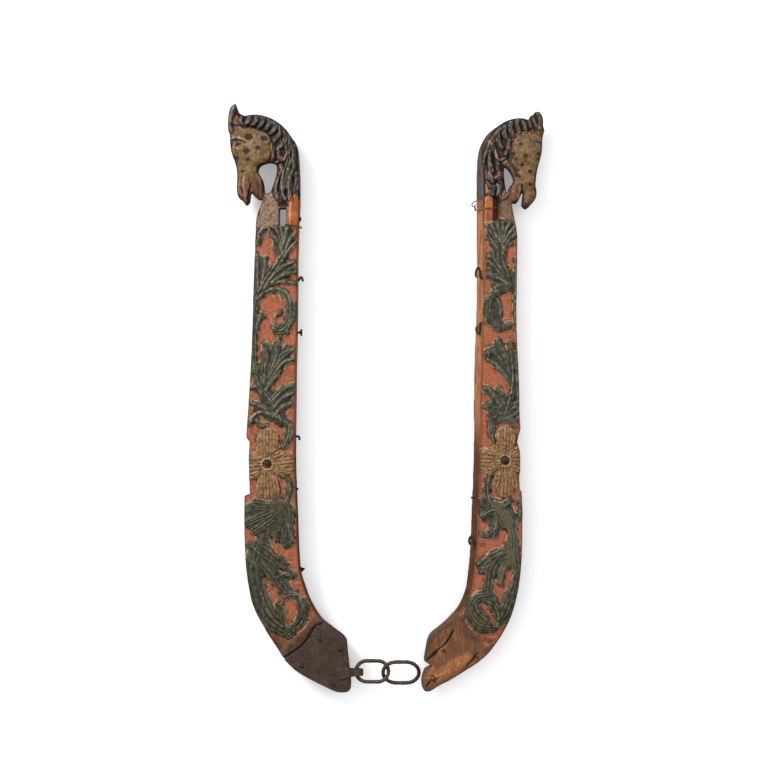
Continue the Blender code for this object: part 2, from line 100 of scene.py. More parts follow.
# The right slot's walls lean inwards by RIGHT_SLOT_LEAN at the back; the bands fade it out.
SLOT_PLACE = (127.5, 560.0)
SLOT_BAND_U = (14.0, 6.0)
SLOT_BAND_Z = (26.0, 14.0)
RIGHT_SLOT_LEAN = 7.0

# A face is a side wall where its normal's y is below WALL_SLOPE. FAR caps distances to an edge.
WALL_SLOPE = 0.35
FRONT_SHARE = 0.62
FAR = 14.0

# Paint: the width of edges darkened by dirt and painted shade, the relief that counts as a full crest
# or hollow, rounds of blur, soft edges as shares of a stroke's half width, and the heights (m) where a side
# goes light.
EDGE_DIRT_AND_SHADE = 2.2
RELIEF_SPAN = 0.75
RELIEF_ROUNDS = 12
OUTLINE_ROUNDS = 8
SOFTNESS = {"bare": 0.95, "brown": 0.8, "pink": 0.6, "faded": 0.8}
SIDE_FADE = (0.26, 0.34)

# Stage and light, in metres and watts. CONTACT_REACH is how far the wall's painted contact shadow spreads.
WALL_Y = 0.014
FLOOR_Z = -0.45
STAGE_HALF = 6
STAGE_TOP = 7
WALL_GLOW = 0.60
CONTACT_REACH = 0.028
BOUNCED_GLOW = 0.3
WORLD_LIGHT = 0.55
AIM = (0.0, 0.0, 0.36)
KEY_PLACE = (-1.5, -1.6, 1.9)
KEY_SIZE = 1.0
KEY_POWER = 53.0
FILL_PLACE = (1.8, -2.2, 0.9)
FILL_SIZE = 2.0
FILL_POWER = 12.0
CAMERA_PLACE = (-0.0027, -2.615, 0.3573)
LENS_MM = 105.0
SENSOR_MM = 36.0

# Rosettes: the bolt's place, and each petal's turn in degrees, length and width.
LEFT_ROSETTE = (137.5, 264.7)
LEFT_PETALS = ((91, 39, 26), (175, 23, 31), (354, 33, 34), (268, 40, 27))
RIGHT_ROSETTE = (137.1, 268.8)
RIGHT_PETALS = ((90, 37, 25), (5, 19, 30), (181, 28, 31), (271, 38, 29))

# In every list below, a stroke's spine is a list of (u, z) points, and its widths are spread
# evenly along it; one number is the same width all along.

# Beds and leaves of the scroll: widths, grooves (0 for none), spine. Beds are broad and lower.
LEFT_BEDS = [
    ((21, 23, 14), 0, [(119, 534), (120, 517), (122, 499)]),
    ((14, 18.5, 14), 0, [(145, 501), (145, 484), (147, 466)]),
    ((9.5, 19.5, 16), 0, [(108, 490), (123, 485), (142, 469)]),
    ((14, 25.5, 18.5), 2, [(131, 397), (134, 382), (140, 355)]),
    ((14, 21, 16), 2, [(115, 396), (126, 383), (137, 357)]),
    ((16, 16, 14), 0, [(148, 353), (140, 345), (130, 329)]),
    ((11.5, 19.5, 16), 0, [(111, 349), (122, 336), (129, 320)]),
    ((9.5, 16, 14), 0, [(150, 331), (137, 324), (123, 314)]),
    ((25.5, 32.5, 21), 2, [(151, 208), (137, 208), (120, 213)]),
    ((21, 30, 21), 2, [(130, 183), (126, 197), (119, 213)]),
    ((23, 25.5, 18.5), 0, [(135, 183), (142, 169), (144, 153)]),
    ((18.5, 25.5, 23), 0, [(137, 162), (131, 145), (121, 121)]),
    ((9.5, 14, 11.5), 0, [(115, 153), (122, 146), (130, 139)]),
]

RIGHT_BEDS = [
    ((25.5, 28, 16), 2, [(132, 536), (131, 524), (132, 510)]),
    ((14, 18.5, 16), 0, [(123, 499), (128, 490), (138, 478)]),
    ((14, 21, 16), 0, [(127, 472), (135, 476), (143, 480)]), (9.5, 0, [(128, 451), (125, 441), (131, 429)]),
    ((16, 21, 18.5), 0, [(125, 397), (133, 383), (140, 367)]),
    ((14, 18.5, 16), 0, [(128, 378), (137, 371), (143, 357)]),
    ((18.5, 23, 21), 0, [(119, 343), (128, 334), (139, 325)]),
    ((16, 21, 16), 0, [(145, 333), (137, 325), (127, 316)]),
    ((23, 35, 32.5), 2, [(114, 216), (127, 206), (138, 197)]),
    ((28, 28, 23), 2, [(132, 213), (140, 190), (142, 167)]),
    ((18.5, 28, 28), 0, [(113, 145), (127, 151), (141, 158)]),
    ((18.5, 16, 10.5), 0, [(130, 158), (120, 144), (118, 121)]),
    ((14, 10.5, 15), 0, [(147, 171), (150, 147), (147, 116)]),
    ((15, 17.5, 11.5), 0, [(143, 114), (139, 100), (131, 82)]),
]

LEFT_LEAVES = [
    # crown of leaves under the slot
    ((4.5, 7, 4.5), 0, [(149, 512), (148, 524), (144, 535), (137, 539)]),
    ((3.5, 7, 8), 0, [(137, 539), (133, 531), (124, 520), (120, 506)]),
    ((3.5, 6, 7), 0, [(130, 541), (124, 530), (121, 517), (120, 505)]),
    ((4.5, 6, 6), 0, [(122, 539), (120, 528), (119, 513)]),
    ((6, 7, 6), 0, [(114, 538), (117, 524), (120, 506)]),
    ((4.5, 7, 6), 0, [(105, 532), (113, 521), (119, 505)]),
    ((3.5, 6, 7), 0, [(104, 521), (112, 513), (121, 499)]),
    # left fingers and the main stem
    ((4.5, 6, 3.5), 0, [(149, 506), (149, 490), (148, 465)]),
    ((6, 8, 4.5), 0, [(140, 506), (141, 490), (145, 467)]),
    ((10.5, 9.5, 8), 2, [(122, 506), (131, 491), (140, 478), (147, 465), (151, 454), (153, 441),
     (154, 420), (154, 403), (154, 385), (152, 370)]),
    ((8, 9.5, 10.5), 2, [(152, 370), (147, 356), (139, 345), (131, 334), (126, 325), (121, 316)]),
    # leaf to the right of the stem
    ((3.5, 8, 8), 0, [(105, 499), (119, 493), (133, 480), (142, 466)]),
    ((3.5, 7, 6), 0, [(104, 487), (119, 483), (133, 474)]),
    ((3.5, 7, 4.5), 0, [(104, 473), (119, 476), (137, 470)]),
    # first volute
    ((4.5, 8, 10.5), 2, [(150, 454), (141, 463), (128, 466), (116, 462), (111, 451), (111, 436)]),
    ((10.5, 9.5, 6), 2, [(111, 438), (114, 427), (122, 419), (130, 422), (133, 430), (129, 438),
     (122, 440)]),
    ((6, 7, 4.5), 1, [(151, 420), (148, 432), (143, 437), (135, 434)]),
    ((7, 9.5, 7), 1, [(105, 449), (106, 441), (111, 429), (116, 418)]),
    # third leaf
    ((8, 10.5, 9.5), 1, [(139, 403), (140, 385), (142, 356)]),
    ((6, 9.5, 9.5), 1, [(124, 409), (127, 393), (137, 364)]),
    ((6, 9.5, 8), 1, [(108, 397), (120, 390), (134, 369)]),
    ((4.5, 7, 7), 0, [(106, 387), (121, 380), (136, 357)]),
    ((4.5, 6, 6), 0, [(122, 372), (131, 362), (140, 349)]),
    ((6, 8, 7), 0, [(155, 353), (150, 354), (144, 347)]),
    # fourth leaf
    ((4.5, 8, 8), 1, [(106, 357), (121, 350), (135, 335)]),
    ((4.5, 7, 8), 0, [(106, 348), (119, 341), (131, 329)]),
    ((7, 8, 7), 0, [(111, 334), (120, 331), (128, 322)]),
    ((6, 8, 9.5), 1, [(155, 336), (144, 331), (131, 324), (120, 314)]),
    ((3.5, 6, 7), 0, [(158, 310), (153, 320), (144, 325), (135, 322), (124, 317)]),
    ((4.5, 6, 4.5), 0, [(150, 316), (144, 309), (136, 311)]),
    ((8, 10.5, 6), 2, [(122, 318), (114, 312), (112, 303), (115, 292), (120, 284)]),
    # fifth leaf, below the rosette
    ((4.5, 8, 9.5), 1, [(119, 251), (113, 245), (112, 234), (118, 220)]),
    ((7, 9.5, 7), 1, [(151, 222), (137, 220), (120, 220)]),
    ((11.5, 15, 9.5), 4, [(159, 213), (148, 215), (134, 216), (119, 220)]),
    ((13, 16, 10.5), 4, [(158, 198), (147, 203), (134, 209), (119, 219)]),
    ((14, 16, 10.5), 4, [(150, 189), (141, 195), (130, 204), (119, 217)]),
    ((10.5, 14, 11.5), 4, [(129, 179), (126, 191), (122, 205), (118, 219)]),
    ((14, 16, 10.5), 4, [(115, 175), (116, 188), (116, 203), (117, 218)]),
    ((9.5, 13, 8), 2, [(111, 201), (112, 210), (116, 219)]),
    ((8, 10.5, 8), 1, [(108, 177), (111, 186), (114, 197)]),
    ((11.5, 13, 14), 2, [(140, 191), (142, 181), (144, 171)]),
    ((7, 10.5, 10.5), 2, [(159, 171), (153, 168), (147, 162)]),
    ((7, 10.5, 10.5), 1, [(159, 157), (155, 153), (149, 148)]),
    ((11.5, 21, 23), 3, [(143, 179), (149, 165), (152, 148), (152, 130)]),
    ((23, 22, 14), 3, [(152, 132), (148, 111), (140, 94), (128, 80), (113, 70)]),
    ((9.5, 13, 14), 2, [(118, 153), (127, 158), (137, 166), (144, 171)]),
    ((8, 11.5, 14), 3, [(107, 135), (114, 140), (126, 148), (140, 160)]),
    ((10.5, 14, 14), 2, [(114, 114), (121, 122), (129, 133), (141, 150)]),
    # last volute
    ((8, 10.5, 11.5), 3, [(124, 104), (119, 111), (109, 115), (100, 111), (96, 100)]),
    ((11.5, 13, 10.5), 3, [(96, 102), (97, 89), (102, 79), (113, 73)]),
    ((6, 10.5, 13), 2, [(126, 104), (122, 93), (119, 82), (109, 74)]),
]

RIGHT_LEAVES = [
    # crown of leaves under the slot
    ((4.5, 7, 7), 0, [(116, 541), (121, 531), (128, 520)]),
    ((4.5, 7, 7), 0, [(116, 532), (121, 524), (128, 514)]),
    ((4.5, 7, 7), 0, [(121, 542), (125, 534), (131, 521)]),
    ((4.5, 7, 7), 0, [(128, 545), (130, 534), (132, 520)]),
    ((4.5, 6, 7), 0, [(135, 543), (134, 531), (133, 517)]),
    ((4.5, 6, 6), 0, [(143, 544), (138, 535), (134, 520)]),
    ((4.5, 6, 6), 0, [(148, 538), (141, 530), (135, 519)]),
    ((4.5, 6, 6), 0, [(148, 530), (142, 524), (135, 514)]),
    ((3.5, 6, 6), 0, [(146, 521), (140, 517), (135, 509)]),
    ((14, 15, 17.5), 3, [(131, 524), (131, 510), (132, 498), (137, 486), (141, 473)]),
    # left lobes
    ((6, 7, 7), 0, [(119, 505), (124, 502), (129, 495), (135, 486)]),
    ((6, 7, 8), 0, [(119, 498), (125, 493), (134, 481)]),
    ((6, 9.5, 9.5), 1, [(119, 490), (121, 483), (130, 480), (139, 474)]),
    ((4.5, 8, 8), 1, [(125, 467), (132, 472), (142, 473)]),
    ((3.5, 4.5, 4.5), 0, [(149, 503), (150, 484), (149, 459), (149, 429)]),
    # first volute
    ((7, 8, 13), 3, [(146, 471), (135, 467), (125, 462), (119, 454), (118, 442)]),
    ((13, 10.5, 6), 3, [(118, 444), (121, 432), (129, 423), (137, 423), (142, 427)]),
    ((3.5, 6, 4.5), 0, [(128, 455), (132, 448), (131, 438)]),
    # third leaf
    ((8, 9.5, 9.5), 1, [(130, 407), (133, 397), (139, 383), (142, 369)]),
    ((8, 9.5, 9.5), 1, [(117, 391), (120, 397), (126, 393), (137, 380)]),
    ((4.5, 7, 8), 0, [(118, 385), (126, 380), (138, 369)]),
    ((4.5, 7, 8), 0, [(123, 376), (131, 375), (140, 364)]),
    ((6, 10.5, 10.5), 2, [(142, 405), (145, 385), (146, 364), (143, 345), (138, 324)]),
    ((3.5, 4.5, 4.5), 0, [(150, 420), (150, 394), (151, 364), (152, 336)]),
    # fourth leaf
    ((6, 8, 8), 1, [(114, 353), (119, 351), (125, 342), (132, 331)]),
    ((8, 9.5, 10.5), 1, [(130, 352), (134, 343), (137, 329)]),
    ((7, 10.5, 10.5), 1, [(114, 332), (124, 328), (137, 321)]),
    ((8, 9.5, 6), 2, [(120, 326), (121, 311), (122, 299), (124, 291)]),
    ((8, 10.5, 9.5), 1, [(150, 334), (141, 326), (131, 317)]),
    ((6, 9.5, 9.5), 1, [(151, 324), (143, 320), (134, 316)]),
    ((6, 9.5, 9.5), 1, [(149, 309), (145, 316), (134, 320)]),
    ((9.5, 14, 14), 3, [(141, 341), (134, 331), (125, 321)]),
    # fifth leaf, below the rosette
    ((6, 9.5, 9.5), 2, [(119, 253), (117, 240), (118, 226), (123, 216)]),
    ((4.5, 9.5, 10.5), 1, [(145, 224), (138, 219), (125, 216)]),
    ((6, 10.5, 10.5), 2, [(110, 205), (117, 209), (126, 212)]),
    ((11.5, 18.5, 18.5), 4, [(125, 219), (130, 208), (137, 195)]),
    ((6, 9.5, 9.5), 1, [(110, 183), (118, 184), (126, 193)]),
    ((7, 9.5, 8), 1, [(125, 180), (125, 190), (128, 202)]),
    ((16, 16, 14), 4, [(135, 206), (142, 190), (144, 171), (143, 153)]),
    ((7, 16, 18.5), 3, [(111, 138), (114, 147), (125, 154), (139, 160)]),
    ((6, 9.5, 11.5), 1, [(105, 150), (114, 155), (125, 159), (137, 166)]),
    ((14, 13, 9.5), 2, [(130, 158), (121, 145), (118, 131), (117, 117)]),
    ((6, 8, 9.5), 1, [(132, 124), (132, 133), (135, 146)]),
    ((13, 9.5, 14), 2, [(146, 162), (150, 145), (149, 128), (143, 108)]),
    ((14, 16, 9.5), 3, [(143, 110), (140, 99), (134, 88), (128, 79)]),
    (6, 1, [(155, 225), (155, 209), (153, 197)]),
    # last volute
    ((9.5, 15, 16), 4, [(126, 106), (120, 112), (109, 112), (101, 106), (98, 94)]),
    ((16, 16, 14), 4, [(98, 96), (102, 85), (110, 78), (120, 77)]),
    ((7, 10.5, 7), 2, [(102, 104), (106, 95), (114, 86), (121, 79)]),
    ((8, 11.5, 10.5), 2, [(114, 108), (124, 102), (128, 94), (130, 86)]),
]

# Heads. face, pink: spine, widths (and strength); locks: as leaves; swells: place, radii, rise;
# ridges, grooves: spine, widths, height, paint; spots: place, radius.
LEFT_HEAD = {
    "face": [
        ([(174.5, 647.5), (158, 645), (142, 640.5)], (14, 18.5, 16)),
        ([(169.5, 628.5), (152.5, 626.5), (137, 626.5)], (21, 28, 16)),
        ([(165, 608), (151, 612.5), (139.5, 617)], (18.5, 18.5, 9.5)),
        ([(160.5, 611.5), (161.5, 594), (162.5, 575.5)], (25.5, 21, 16)),
        ([(149, 596), (146.5, 584.5)], (14, 9.5)), ([(178, 664.5), (172, 660)], 10.5),
    ],
    "locks": [
        ((4.5, 5.5, 3.5), 0, [(165.5, 667.5), (168, 662.5), (166, 656.5)]),
        ((6.5, 7.5, 4.5), 1, [(158.5, 668), (158.5, 662.5), (163.5, 655.5)]),
        ((7.5, 7.5, 4.5), 1, [(150.5, 669.5), (150, 662.5), (156.5, 655)]),
        ((7.5, 7.5, 4.5), 1, [(143, 668), (142.5, 661), (148, 653)]),
        ((7.5, 7.5, 4.5), 1, [(136, 665.5), (135, 657.5), (140, 651)]),
        ((7.5, 7.5, 4.5), 1, [(129, 661), (128, 653), (134.5, 646)]),
        ((7.5, 7.5, 5.5), 1, [(122.5, 656), (122, 647.5), (129.5, 638)]),
        ((7.5, 8.5, 5.5), 1, [(117, 651), (117, 638), (125.5, 628.5)]),
        ((7.5, 8.5, 6.5), 1, [(111, 644), (111.5, 628.5), (116.5, 617)]),
        ((6.5, 7.5, 7.5), 1, [(107, 633.5), (106.5, 617), (106.5, 598.5)]),
        ((6.5, 8.5, 8.5), 1, [(116.5, 633.5), (113, 617), (114, 598.5), (116.5, 584.5)]),
        ((6.5, 8.5, 8.5), 1, [(106, 608), (111.5, 594), (110.5, 580), (115, 569.5)]),
        ((5.5, 7.5, 7.5), 1, [(103.5, 601), (103.5, 587), (107, 573)]),
        ((5.5, 7.5, 7.5), 1, [(121, 610), (118.5, 596), (121, 582.5), (120, 570.5)]),
        ((4.5, 6.5, 5.5), 1, [(124.5, 596), (128, 584.5), (127, 575.5), (122, 568.5)]),
        ((5.5, 5.5, 3.5), 0, [(131.5, 633.5), (130.5, 622), (132.5, 612.5)]),
        ((4.5, 5.5, 4.5), 0, [(144, 613.5), (135, 611.5), (125.5, 613.5)]),
        ((5.5, 6.5, 4.5), 0, [(125.5, 628.5), (122, 619.5), (116.5, 615)]),
        ((6.5, 8.5, 6.5), 0, [(173, 682), (177, 674), (180, 666)]),
        ((4.5, 5.5, 4.5), 0, [(180, 666), (180.5, 656.5), (179, 649.5)]),
    ],
    "pink": [
        ([(176.5, 677.5), (178.5, 671.5)], (3.5, 3), 0.5),
        ([(125, 624), (124.5, 617), (118.5, 616), (116.5, 622)], (2.5, 3, 2.5), 0.7),
        ([(123.5, 610), (121.5, 604.5), (123.5, 599.5)], (3.5, 3.5, 2.5), 0.8),
        ([(169.5, 575.5), (166, 567)], 4.5, 0.4), ([(169.5, 654), (161.5, 652)], 4.5, 0.45),
    ],
    "swells": [
        ((147.5, 628.5), (17.5, 19.5), 2.6), ((169.5, 634.5), (10.5, 11.5), 1.0),
        ((161.5, 596), (10.5, 16), 1.4), ((162.5, 576.5), (7, 10.5), 0.8),
    ],
    "ridges": [
        ([(179.5, 641), (172, 642.5), (161.5, 639)], (2.5, 3, 2.5), 0.8, 0.75),
        ([(176.5, 633.5), (172, 628.5), (166, 631)], (2, 2, 1.5), 0.5, 0.3),
        ([(168.5, 598.5), (170.5, 588), (171, 577.5)], 2.5, 0.5, 0.5),
        ([(164, 599.5), (165, 587), (162.5, 574)], (2.5, 3, 2.5), 0.6, 0.6),
        ([(124, 652), (122, 638), (120, 626.5)], 2, 0.4, 0.35),
        ([(133.5, 661), (131.5, 652), (135, 645)], (1.5, 2, 1.5), 0.3, 0.4),
        ([(151, 667), (150.5, 660), (154.5, 655.5)], (1.5, 2, 1.5), 0.3, 0.35),
        ([(107, 620.5), (113, 608), (116.5, 596), (115, 582.5)], (2, 2.5, 2), 0.4, 0.55),
        ([(124.5, 579), (127, 573), (122, 567)], (2, 2, 1.5), 0.3, 0.5),
        ([(118.5, 598.5), (117.5, 587), (120, 575.5)], (1.5, 1.5, 1.5), 0.3, 0.35),
        ([(108, 626.5), (107.5, 608), (113, 590.5), (111.5, 570.5)], (2, 2.5, 2.5, 2), 0.8, 0.6),
        ([(116, 610), (121, 594), (120, 580), (116.5, 569.5)], (2, 2.5, 2.5, 2), 0.8, 0.55),
        ([(102.5, 619.5), (100.5, 596), (104, 573)], (2, 2.5, 2), 0.8, 0.5),
        ([(124.5, 594), (128, 583.5), (124.5, 572)], (1.5, 2, 1.5), 0.6, 0.5),
    ],
    "grooves": [
        ([(179, 656.5), (169.5, 656), (158, 655), (146.5, 652.5), (137, 647.5), (132, 639), (131, 628.5),
         (135, 617)], (2.5, 2.5, 3, 2.5), 1.0, 0.6),
        ([(180, 638.5), (171, 639), (161.5, 635.5)], (2.5, 2.5, 2), 0.8, 0.5),
        ([(174.5, 632), (168.5, 634.5)], (2.5, 2.5), 0.8, 0.8),
        ([(156, 589.5), (158.5, 580), (160, 570.5)], (2, 3, 3.5), 1.6, 0.9),
        ([(149, 605.5), (145.5, 610), (136, 612.5)], (3.5, 4, 3.5), 1.2, 0.8),
        ([(124.5, 612.5), (117.5, 613.5), (114, 619.5)], (2.5, 3, 2.5), 1.0, 0.8),
        ([(168.5, 584.5), (166, 577.5)], 2.5, 0.9, 0.7),
        ([(104.5, 628.5), (104, 608), (109.5, 589.5), (107.5, 569.5)], (2, 2.5, 2.5, 2.5), 1.2, 0.75),
        ([(112.5, 617), (117, 598.5), (116, 582.5), (114, 568.5)], (2, 2.5, 2.5, 2.5), 1.2, 0.75),
        ([(120, 603), (124.5, 589.5), (122.5, 576.5), (118.5, 567)], (1.5, 2.5, 2.5, 2), 1.1, 0.7),
        ([(99.5, 615), (98, 591.5), (101.5, 569.5)], (1.5, 2.5, 2), 1.0, 0.7),
        ([(144, 593), (142.5, 582.5), (142.5, 574)], (3, 3.5, 3.5), 0.8, 0.75),
    ],
    "spots": [
        ((159, 643), 4.8), ((141.5, 641), 3.8), ((161.5, 626.5), 4), ((148.5, 630), 3.2), ((160, 617), 2.8),
        ((172.5, 618.5), 2.6), ((166, 603), 2.6), ((172, 634.5), 2), ((121.5, 622.5), 3.4),
    ],
    "post": [(107, 568.5), (107.5, 555.5), (108, 541.5)],
    "post_widths": (15.5, 15.5, 14.5),
}

RIGHT_HEAD = {
    "face": [
        ([(150.5, 644), (164.5, 645), (175, 642.5)], (16, 16, 10.5)),
        ([(148, 628.5), (162, 628.5), (176, 626.5)], (18.5, 28, 18.5)),
        ([(150.5, 615), (163, 610), (173.5, 608)], (11.5, 23, 18.5)),
        ([(163, 598.5), (162, 582.5), (166.5, 570.5)], (25.5, 21, 16)),
        ([(139, 613.5), (143.5, 605.5), (148, 594)], (9.5, 10.5, 10.5)),
        ([(151.5, 587), (148, 575.5)], (14, 11.5)), ([(175, 652), (182, 649.5)], (8, 6)),
    ],
    "locks": [
        ((5.5, 6.5, 3.5), 1, [(165.5, 662.5), (166.5, 656.5), (169, 649.5)]),
        ((6.5, 6.5, 3.5), 1, [(158.5, 663), (159.5, 656.5), (161.5, 649.5)]),
        ((6.5, 6.5, 4.5), 1, [(151.5, 662.5), (151.5, 655.5), (154, 648.5)]),
        ((6.5, 7.5, 4.5), 1, [(144, 659), (143.5, 651), (147, 644)]),
        ((6.5, 7.5, 4.5), 1, [(136.5, 654), (136.5, 644), (142.5, 638)]),
        ((6.5, 7.5, 5.5), 1, [(129.5, 648.5), (129.5, 637), (134, 630)]),
        ((6.5, 7.5, 5.5), 1, [(123, 641.5), (124, 628.5), (127.5, 619.5)]),
        ((5.5, 6.5, 5.5), 0, [(118, 632), (119, 617), (122.5, 603)]),
        ((5.5, 7.5, 5.5), 0, [(141, 635.5), (140, 627.5), (137.5, 622)]),
        ((6.5, 8.5, 7.5), 1, [(127.5, 617), (129.5, 605.5), (134, 598.5), (144.5, 596)]),
        ((6.5, 9.5, 8.5), 1, [(119, 603), (120.5, 594), (122.5, 582.5), (120.5, 573)]),
        ((5.5, 9.5, 8.5), 1, [(139, 596), (140, 584.5), (136.5, 575.5), (129.5, 572)]),
        ((5.5, 7.5, 5.5), 1, [(130.5, 594), (132, 582.5), (127.5, 573)]),
        ((7.5, 8.5, 7.5), 0, [(176, 669.5), (178.5, 661), (177, 653)]),
        ((4.5, 5.5, 4.5), 0, [(169, 666.5), (171, 660), (173.5, 654)]),
        (6.5, 0, [(113.5, 622), (111, 605.5), (110, 587), (110, 565)]),
        ((6.5, 7.5, 6.5), 0, [(132, 652), (121.5, 639), (114.5, 622)]),
    ],
    "pink": [
        ([(126, 626.5), (127.5, 619.5), (132, 616), (136.5, 619.5)], (3, 3.5, 3), 0.7),
        ([(122.5, 615), (120.5, 610)], 3.5, 0.35), ([(146, 582.5), (144.5, 573)], 6, 0.45),
        ([(162, 582.5), (163, 570.5)], 8, 0.35), ([(177, 668), (179, 661)], 4.5, 0.35),
        ([(135.5, 656.5), (136.5, 651)], (3, 2.5), 0.35),
    ],
    "swells": [
        ((161, 627.5), (16, 19.5), 2.4), ((162, 596), (10.5, 16), 1.4), ((164.5, 574), (8, 10.5), 0.9),
    ],
    "ridges": [
        ([(176, 647.5), (179.5, 642.5), (178.5, 638)], 2.5, 0.6, 0.3),
        ([(155, 582.5), (154, 573), (156.5, 565)], 2.5, 0.5, 0.35),
        ([(117, 602), (124, 596), (130.5, 598.5)], (2.5, 3, 2.5), 0.5, 0.7),
        ([(115.5, 584.5), (118, 580)], (2.5, 2.5), 0.4, 0.8), ([(126, 641.5), (128.5, 631)], 1.5, 0.3, 0.5),
        ([(136.5, 597.5), (139, 586), (135.5, 576.5)], (1.5, 2, 1.5), 0.4, 0.45),
        ([(117, 623), (118, 609), (120.5, 596)], 1.5, 0.4, 0.4),
        ([(121.5, 633.5), (119, 619.5), (119, 605.5)], (2, 2.5, 2), 0.7, 0.5),
        ([(122.5, 594), (128.5, 587), (128.5, 576.5)], (2, 2.5, 2), 0.7, 0.5),
        ([(114.5, 610), (115.5, 596), (119, 584.5)], (1.5, 2, 1.5), 0.6, 0.5),
    ],
    "grooves": [
        ([(144.5, 640.5), (149.5, 648.5), (157.5, 650), (169, 650)], (2.5, 3, 3, 2.5), 1.0, 0.5),
        ([(141, 628.5), (140.5, 617), (146, 608), (150.5, 597.5)], (2.5, 3.5, 3.5, 3.5), 1.2, 0.6),
        ([(157.5, 587), (155.5, 575.5), (154, 566)], (2.5, 3, 3.5), 1.6, 0.85),
        ([(117, 593), (122.5, 588), (130.5, 593)], (3.5, 4, 3), 1.6, 0.9),
        ([(125, 617), (132, 613.5), (139, 617)], (2.5, 3, 2.5), 1.0, 0.7),
        ([(119, 575.5), (125, 572), (132, 567)], (2.5, 3.5, 3.5), 1.2, 0.8),
        ([(118, 628.5), (116, 615), (117, 601)], (2, 2.5, 2), 1.1, 0.75),
        ([(125, 635.5), (124, 622), (126, 610)], (2, 2.5, 2), 1.0, 0.7),
        ([(126, 591.5), (133, 586), (133, 574)], (2, 2.5, 2), 1.1, 0.75),
        ([(114.5, 617), (113.5, 598.5), (114, 575.5)], (2, 2, 2), 0.7, 0.6),
    ],
    "spots": [
        ((155.5, 634.5), 2.4), ((146.5, 623), 3), ((161, 621), 3), ((157, 610.5), 2.6), ((166, 603), 2.8),
        ((153, 597.5), 2.6), ((166.5, 588), 2.6), ((175.5, 623.5), 2), ((149.5, 617), 1.6),
        ((136, 620.5), 2),
    ],
    "post": [(118, 569.5), (118, 559), (118, 546.5)],
    "post_widths": (11, 11, 10.5),
}

